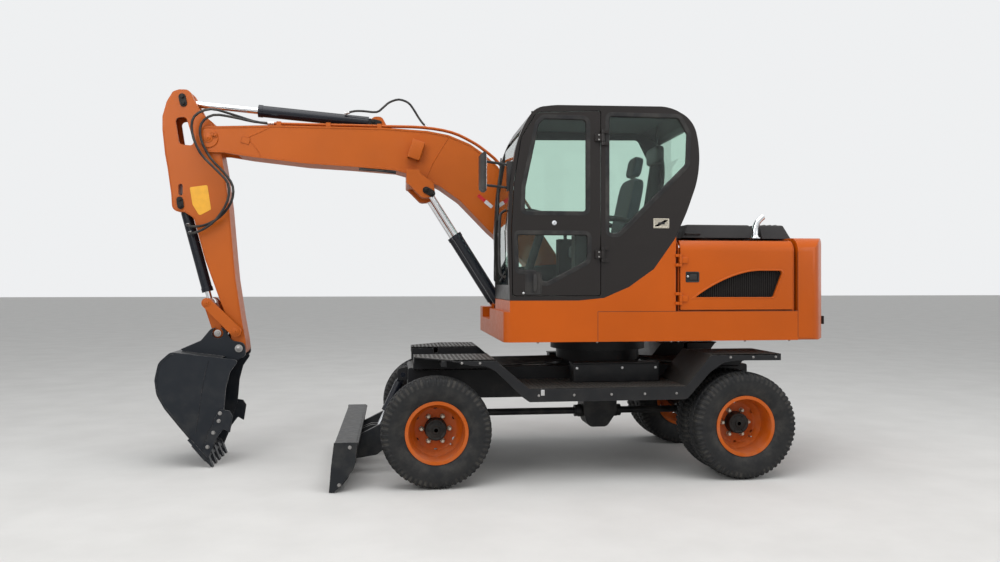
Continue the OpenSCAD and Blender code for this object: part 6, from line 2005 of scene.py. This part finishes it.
    def lamp(self) -> None:
        """Working lamp: a folded guard open below, a black barrel and a clear lens that looks down and
        forwards."""
        x, z = 1.622, 2.767
        y = self.arm_y + self.boom_half
        about = np.array([x, 0, z])
        outer = block((x - 0.058, y - 0.002, z - 0.084), (x + 0.058, y + 0.084, z + 0.084), 0.004, 0.010)
        room = box((x - 0.050, y + 0.008, z - 0.100), (x + 0.050, y + 0.076, z + 0.074))
        guard = tilted(carved(outer, room), -18.0, about)
        piece = self.add(guard, "lamp_guard", "boom", ARM_ORANGE)
        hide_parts("work_lamp")
        middle = np.array([x, y + 0.042, z])
        up = np.array([0, 0, 1.0])
        barrel = turned(np.array([(0, -0.070), (0.030, -0.070), (0.033, -0.074), (0.0338, -0.066),
                                  (0.0338, -0.020), (0.028, 0.030), (0.014, 0.044),
                                  (0, 0.045)]), middle, up, 40)
        lens = turned(np.array([(0, -0.0785), (0.012, -0.0780), (0.024, -0.0760), (0.0295, -0.0725),
                                (0.0295, -0.0690), (0, -0.0690)]), middle, up, 40)
        self.add(tilted(barrel, -18.0, about), "lamp_barrel", "boom", PLASTIC_BLACK)
        self.add(tilted(lens, -18.0, about), "lamp_lens", "boom", LENS_CLEAR)

    def mirror(self) -> None:
        """Mirror glass on the rear face of the mirror's housing."""
        glass = along("x", rounded_outline([(0.992, 2.278, 0.02), (1.128, 2.278, 0.02), (1.128, 2.552, 0.02),
                                            (0.992, 2.552, 0.02)]), 1.1275, 1.1302, 0.0008)
        self.add(glass, "mirror_glass", "house", MIRROR_SILVER)

    def couplers(self) -> None:
        """Bright couplers where the boom's pipes take the hoses."""
        rings = []
        for y in (-0.222, -0.254):
            for x0, r, l in ((2.872, 0.0155, 0.030), (2.905, 0.0175, 0.022)):
                rings.append(turned(np.array([(0, 0), (r, 0), (r, l), (0, l)]), np.array([x0, y, 2.990]),
                                    np.array([1.0, 0, 0]), 6))
        self.add(Mesh.joined(rings), "boom_couplers", "boom", BRIGHT_STEEL)

    def build(self) -> None:
        """Dresses the arm."""
        self.lips()
        self.openings()
        self.pins()
        self.plates()
        self.lamp()
        self.mirror()
        self.couplers()


@dataclass
class Hoses(Assembly):
    """The two free hoses over the boom's nose, and the loop that feeds the stick cylinder."""

    radius: float = 0.011
    loop_radius: float = 0.010
    route_a: tuple = ((2.901, -0.222, 2.990), (3.050, -0.215, 3.000), (3.220, -0.190, 3.030),
                      (3.380, -0.165, 3.040), (3.480, -0.160, 2.960), (3.480, -0.158, 2.820),
                      (3.400, -0.158, 2.660), (3.290, -0.158, 2.540), (3.215, -0.160, 2.420),
                      (3.230, -0.165, 2.280), (3.330, -0.175, 2.150), (3.460, -0.185, 2.080),
                      (3.570, -0.200, 2.070), (3.618, -0.235, 2.085), (3.622, -0.292, 2.090))
    route_b: tuple = ((2.901, -0.254, 2.990), (3.050, -0.250, 3.010), (3.230, -0.220, 3.060),
                      (3.400, -0.160, 3.090), (3.530, -0.132, 3.020), (3.550, -0.128, 2.880),
                      (3.480, -0.128, 2.700), (3.350, -0.128, 2.560), (3.250, -0.130, 2.440),
                      (3.255, -0.135, 2.290), (3.350, -0.145, 2.130), (3.470, -0.160, 2.040),
                      (3.560, -0.185, 2.010), (3.598, -0.230, 2.015), (3.602, -0.290, 2.020))
    loop: tuple = ((2.244, -0.285, 3.112), (2.170, -0.272, 3.128), (2.095, -0.262, 3.128),
                   (1.975, -0.258, 3.122), (1.915, -0.256, 3.165), (1.860, -0.255, 3.212),
                   (1.775, -0.254, 3.240), (1.690, -0.254, 3.212), (1.640, -0.254, 3.150),
                   (1.600, -0.254, 3.085), (1.560, -0.254, 3.030), (1.520, -0.254, 2.995))

    def free_hose(self, name: str, route: tuple, steps: int, bodies: tuple[str, str], start: int, end: int,
                  radius: float, fittings: list[str]) -> Object:
        """A hose: a tube along a smooth curve through its knots.

        Args:
            name: its name.
            route: the knots.
            steps: points on each span.
            bodies: the body at its start and the one at its end; not used.
            start: knot at which it starts to bend; not used.
            end: knot from which it moves with the second body; not used.
            radius: half its thickness.
            fittings: names of the pieces on it; not used.

        Returns:
            The hose.
        """
        knots = np.array(route)
        path = smooth_path(knots, steps)
        piece = tube(path, radius, 12).build(name, HOSE_BLACK.material(), 40.0)
        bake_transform(piece)
        return piece

    def ferrule(self, name: str, body: str, place: tuple, towards: tuple, radius: float) -> None:
        """Crimped bright ferrule and hexagon nut at a hose's end."""
        at, out = np.array(place), np.array(towards, float)
        sleeve = turned(np.array([(0, 0.004), (radius + 0.003, 0.004), (radius + 0.004, 0.008),
                                  (radius + 0.0025, 0.012), (radius + 0.004, 0.016),
                                  (radius + 0.0025, 0.020), (radius + 0.004, 0.024),
                                  (radius + 0.002, 0.034), (0, 0.034)]), at, out, 20)
        nut = turned(np.array([(0, -0.010), (radius + 0.0065, -0.010), (radius + 0.0065, 0.006),
                               (0, 0.006)]), at, out, 6)
        self.add(Mesh.joined([sleeve, nut]), name, body, BRIGHT_STEEL)

    def build(self) -> None:
        """Lays the hoses and their fittings."""
        a = self.free_hose("hose_a", self.route_a, 3, ("boom", "stick"), 2, 8, self.radius, [])
        self.free_hose("hose_b", self.route_b, 3, ("boom", "stick"), 2, 8, self.radius, [])
        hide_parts("hoses")
        self.ferrule("ferrule_a", "stick", self.route_a[-1], (-0.05, 1.0, -0.03), self.radius)
        self.ferrule("ferrule_b", "stick", self.route_b[-1], (-0.05, 1.0, -0.03), self.radius)
        self.free_hose("stick_cylinder_hose", self.loop, 3, ("stick_cylinder", "boom"), 2, 8,
                       self.loop_radius, [])
        self.ferrule("ferrule_loop_front", "stick_cylinder", (2.250, -0.286, 3.110), (-1.0, 0.18, 0.2),
                     self.loop_radius)
        self.ferrule("ferrule_loop_rear", "boom", (1.514, -0.254, 2.990), (0.72, 0, 0.68),
                     self.loop_radius)


@dataclass
class ToolTrim(Assembly):
    """Bucket cutters with their hooks, lip adapters, weld lines and bolts, and the blade's ribs and edge
    bolts."""

    arm_y: float = -0.340
    bucket_half: float = 0.320
    bucket_back: tuple = ((3.700, 0.990, 0.060), (3.799, 0.900, 0.100), (3.831, 0.756, 0.120),
                          (3.815, 0.628, 0.160), (3.750, 0.509, 0.160), (3.637, 0.362, 0.200),
                          (3.547, 0.250, 0.0), (3.425, 0.105, 0.0))
    bucket_mouth: tuple = ((3.395, 0.075, 0.0), (3.330, 0.250, 0.120), (3.262, 0.480, 0.120),
                           (3.245, 0.680, 0.100), (3.212, 0.810, 0.060), (3.140, 0.915, 0.020))

    def bucket(self) -> None:
        """Side cutters bolted on with a hook that stands out of the mouth, and the welds of the side
        plates."""
        cutter = rounded_outline([(3.388, 0.078, 0.004), (3.318, 0.252, 0.06), (3.262, 0.330, 0.012),
                                  (3.208, 0.296, 0.006), (3.186, 0.440, 0.02), (3.214, 0.486, 0.012),
                                  (3.290, 0.500, 0.01), (3.338, 0.420, 0.02), (3.352, 0.366, 0.006),
                                  (3.388, 0.300, 0.02), (3.440, 0.140, 0.01)], 6)
        outline = rounded_outline(list(self.bucket_mouth + self.bucket_back), 8)
        cutters, welds, bolts = [], [], []
        for s in (1, -1):
            face = self.arm_y + s * self.bucket_half
            low, high = sorted((face - s * 0.001, face + s * 0.014))
            cutters.append(along("y", cutter, low, high, 0.003))
            seam = np.insert(inset(outline, 0.016), 1, face + s * 0.0003, axis=1)
            back = seam[(seam[:, 0] > 3.44) | (seam[:, 2] > 0.95)]
            order = np.argsort(np.arctan2(back[:, 2] - 0.6, back[:, 0] - 3.45))
            welds.append(ArmTrim().bead(back[order], 0.0042))
            inner = smooth_path(np.array([(3.492, face, 0.300), (3.455, face, 0.560), (3.420, face, 0.780),
                                          (3.373, face, 0.960), (3.318, face, 1.040)]), 6)
            welds.append(ArmTrim().bead(inner[inner[:, 2] < 0.93], 0.0036))
            for x, z in ((3.345, 0.300), (3.300, 0.400), (3.290, 0.465), (3.392, 0.180)):
                bolts.append(repeated(hex_bolt(0.022), np.array([(x, face + s * 0.014, z)]),
                                      axes_along(np.array([0, s, 0.0]))[None]))
        self.add(Mesh.joined(cutters), "side_cutters", "bucket", BUCKET_BLACK)
        self.add(Mesh.joined(welds), "bucket_welds", "bucket", BUCKET_BLACK, 60.0)
        self.add(Mesh.joined(bolts), "cutter_bolts", "bucket", DULL_STEEL)
        adapters = []
        profile = np.array([(3.378, 0.062), (3.418, 0.052), (3.530, 0.186), (3.496, 0.214), (3.418, 0.142)])
        for y in self.arm_y + np.linspace(-0.5, 0.5, 5) * 0.56:
            adapters.append(along("y", profile, y - 0.038, y + 0.038, 0.004))
        self.add(Mesh.joined(adapters), "tooth_adapters", "bucket", BUCKET_BLACK)

    def blade(self) -> None:
        """Edge bolts, stiffening ribs and corner gussets of the dozer blade."""
        heads = []
        face = np.array([(2.212, y, 0.085) for y in np.linspace(-0.90, 0.90, 13)])
        direction = np.array([0.93, 0, 0.36])
        facing = np.broadcast_to(axes_along(direction), (len(face), 3, 3))
        heads.append(repeated(hex_bolt(0.020, washer=False), face, facing))
        ends = np.array([(x, s * 0.980, z) for x, z in ((2.146, 0.340), (2.225, 0.060)) for s in (1, -1)])
        turns = np.stack([axes_along(np.array([0, s, 0.0])) for _ in range(2) for s in (1.0, -1.0)])
        heads.append(repeated(hex_bolt(0.018), ends, turns))
        self.add(Mesh.joined(heads), "blade_bolts", "blade", DULL_STEEL)
        rib = rounded_outline([(2.100, 0.340, 0.01), (2.160, 0.340, 0.0), (2.150, 0.180, 0.0),
                               (2.105, 0.200, 0.01)])
        ribs = [along("y", rib, y - 0.006, y + 0.006, 0.001) for y in (-0.86, -0.62, 0.62, 0.86)]
        rail = block((2.080, -0.965, 0.352), (2.120, 0.965, 0.374), 0.004)
        self.add(Mesh.joined([*ribs, rail]), "blade_ribs", "blade", BLADE_BLACK)

    def build(self) -> None:
        """Dresses the bucket and the blade."""
        self.bucket()
        self.blade()


@dataclass
class CabShell(Assembly):
    """The cab as packed, with the straights of its roof and rear outline turned into smooth curves."""

    roof_line: tuple = ((0.925, 1.300, 0.0), (0.943, 2.003, 2.0), (0.924, 2.360, 2.0), (0.861, 2.734, 0.8),
                        (0.727, 2.948, 0.16), (0.561, 2.970, 0.9), (-0.363, 2.982, 0.35),
                        (-0.560, 2.880, 0.24), (-0.614, 2.640, 0.85), (-0.595, 2.400, 0.8),
                        (-0.503, 2.143, 1.6), (-0.404, 1.927, 0.0), (-0.404, 1.300, 0.0))

    def build(self) -> None:
        """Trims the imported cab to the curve."""
        curve = inset(rounded_outline(list(self.roof_line), 8), -0.0004)
        trimmed = carved(Mesh.read(frame["nodes"]["cab"].data), along("y", curve, -0.05, 1.05),
                         operation="INTERSECT")
        piece = self.add(trimmed, "cab_shell", "house", CAB_BROWN, 24.0)
        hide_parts("cab")


def main() -> None:
    """Builds the studio and the machine's assemblies in order, and reports each one."""
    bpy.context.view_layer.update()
    studio = Studio()
    studio.build()
    for assembly in (Carried(), Wheels(), CabTrim(), OperatorSeat(), HouseShell(), Platforms(), ArmTrim(),
                     Hoses(), ToolTrim(), CabShell()):
        assembly.build()
        log.info("built %s", type(assembly).__name__)
    bpy.context.view_layer.update()


if __name__ == "__main__":
    main()
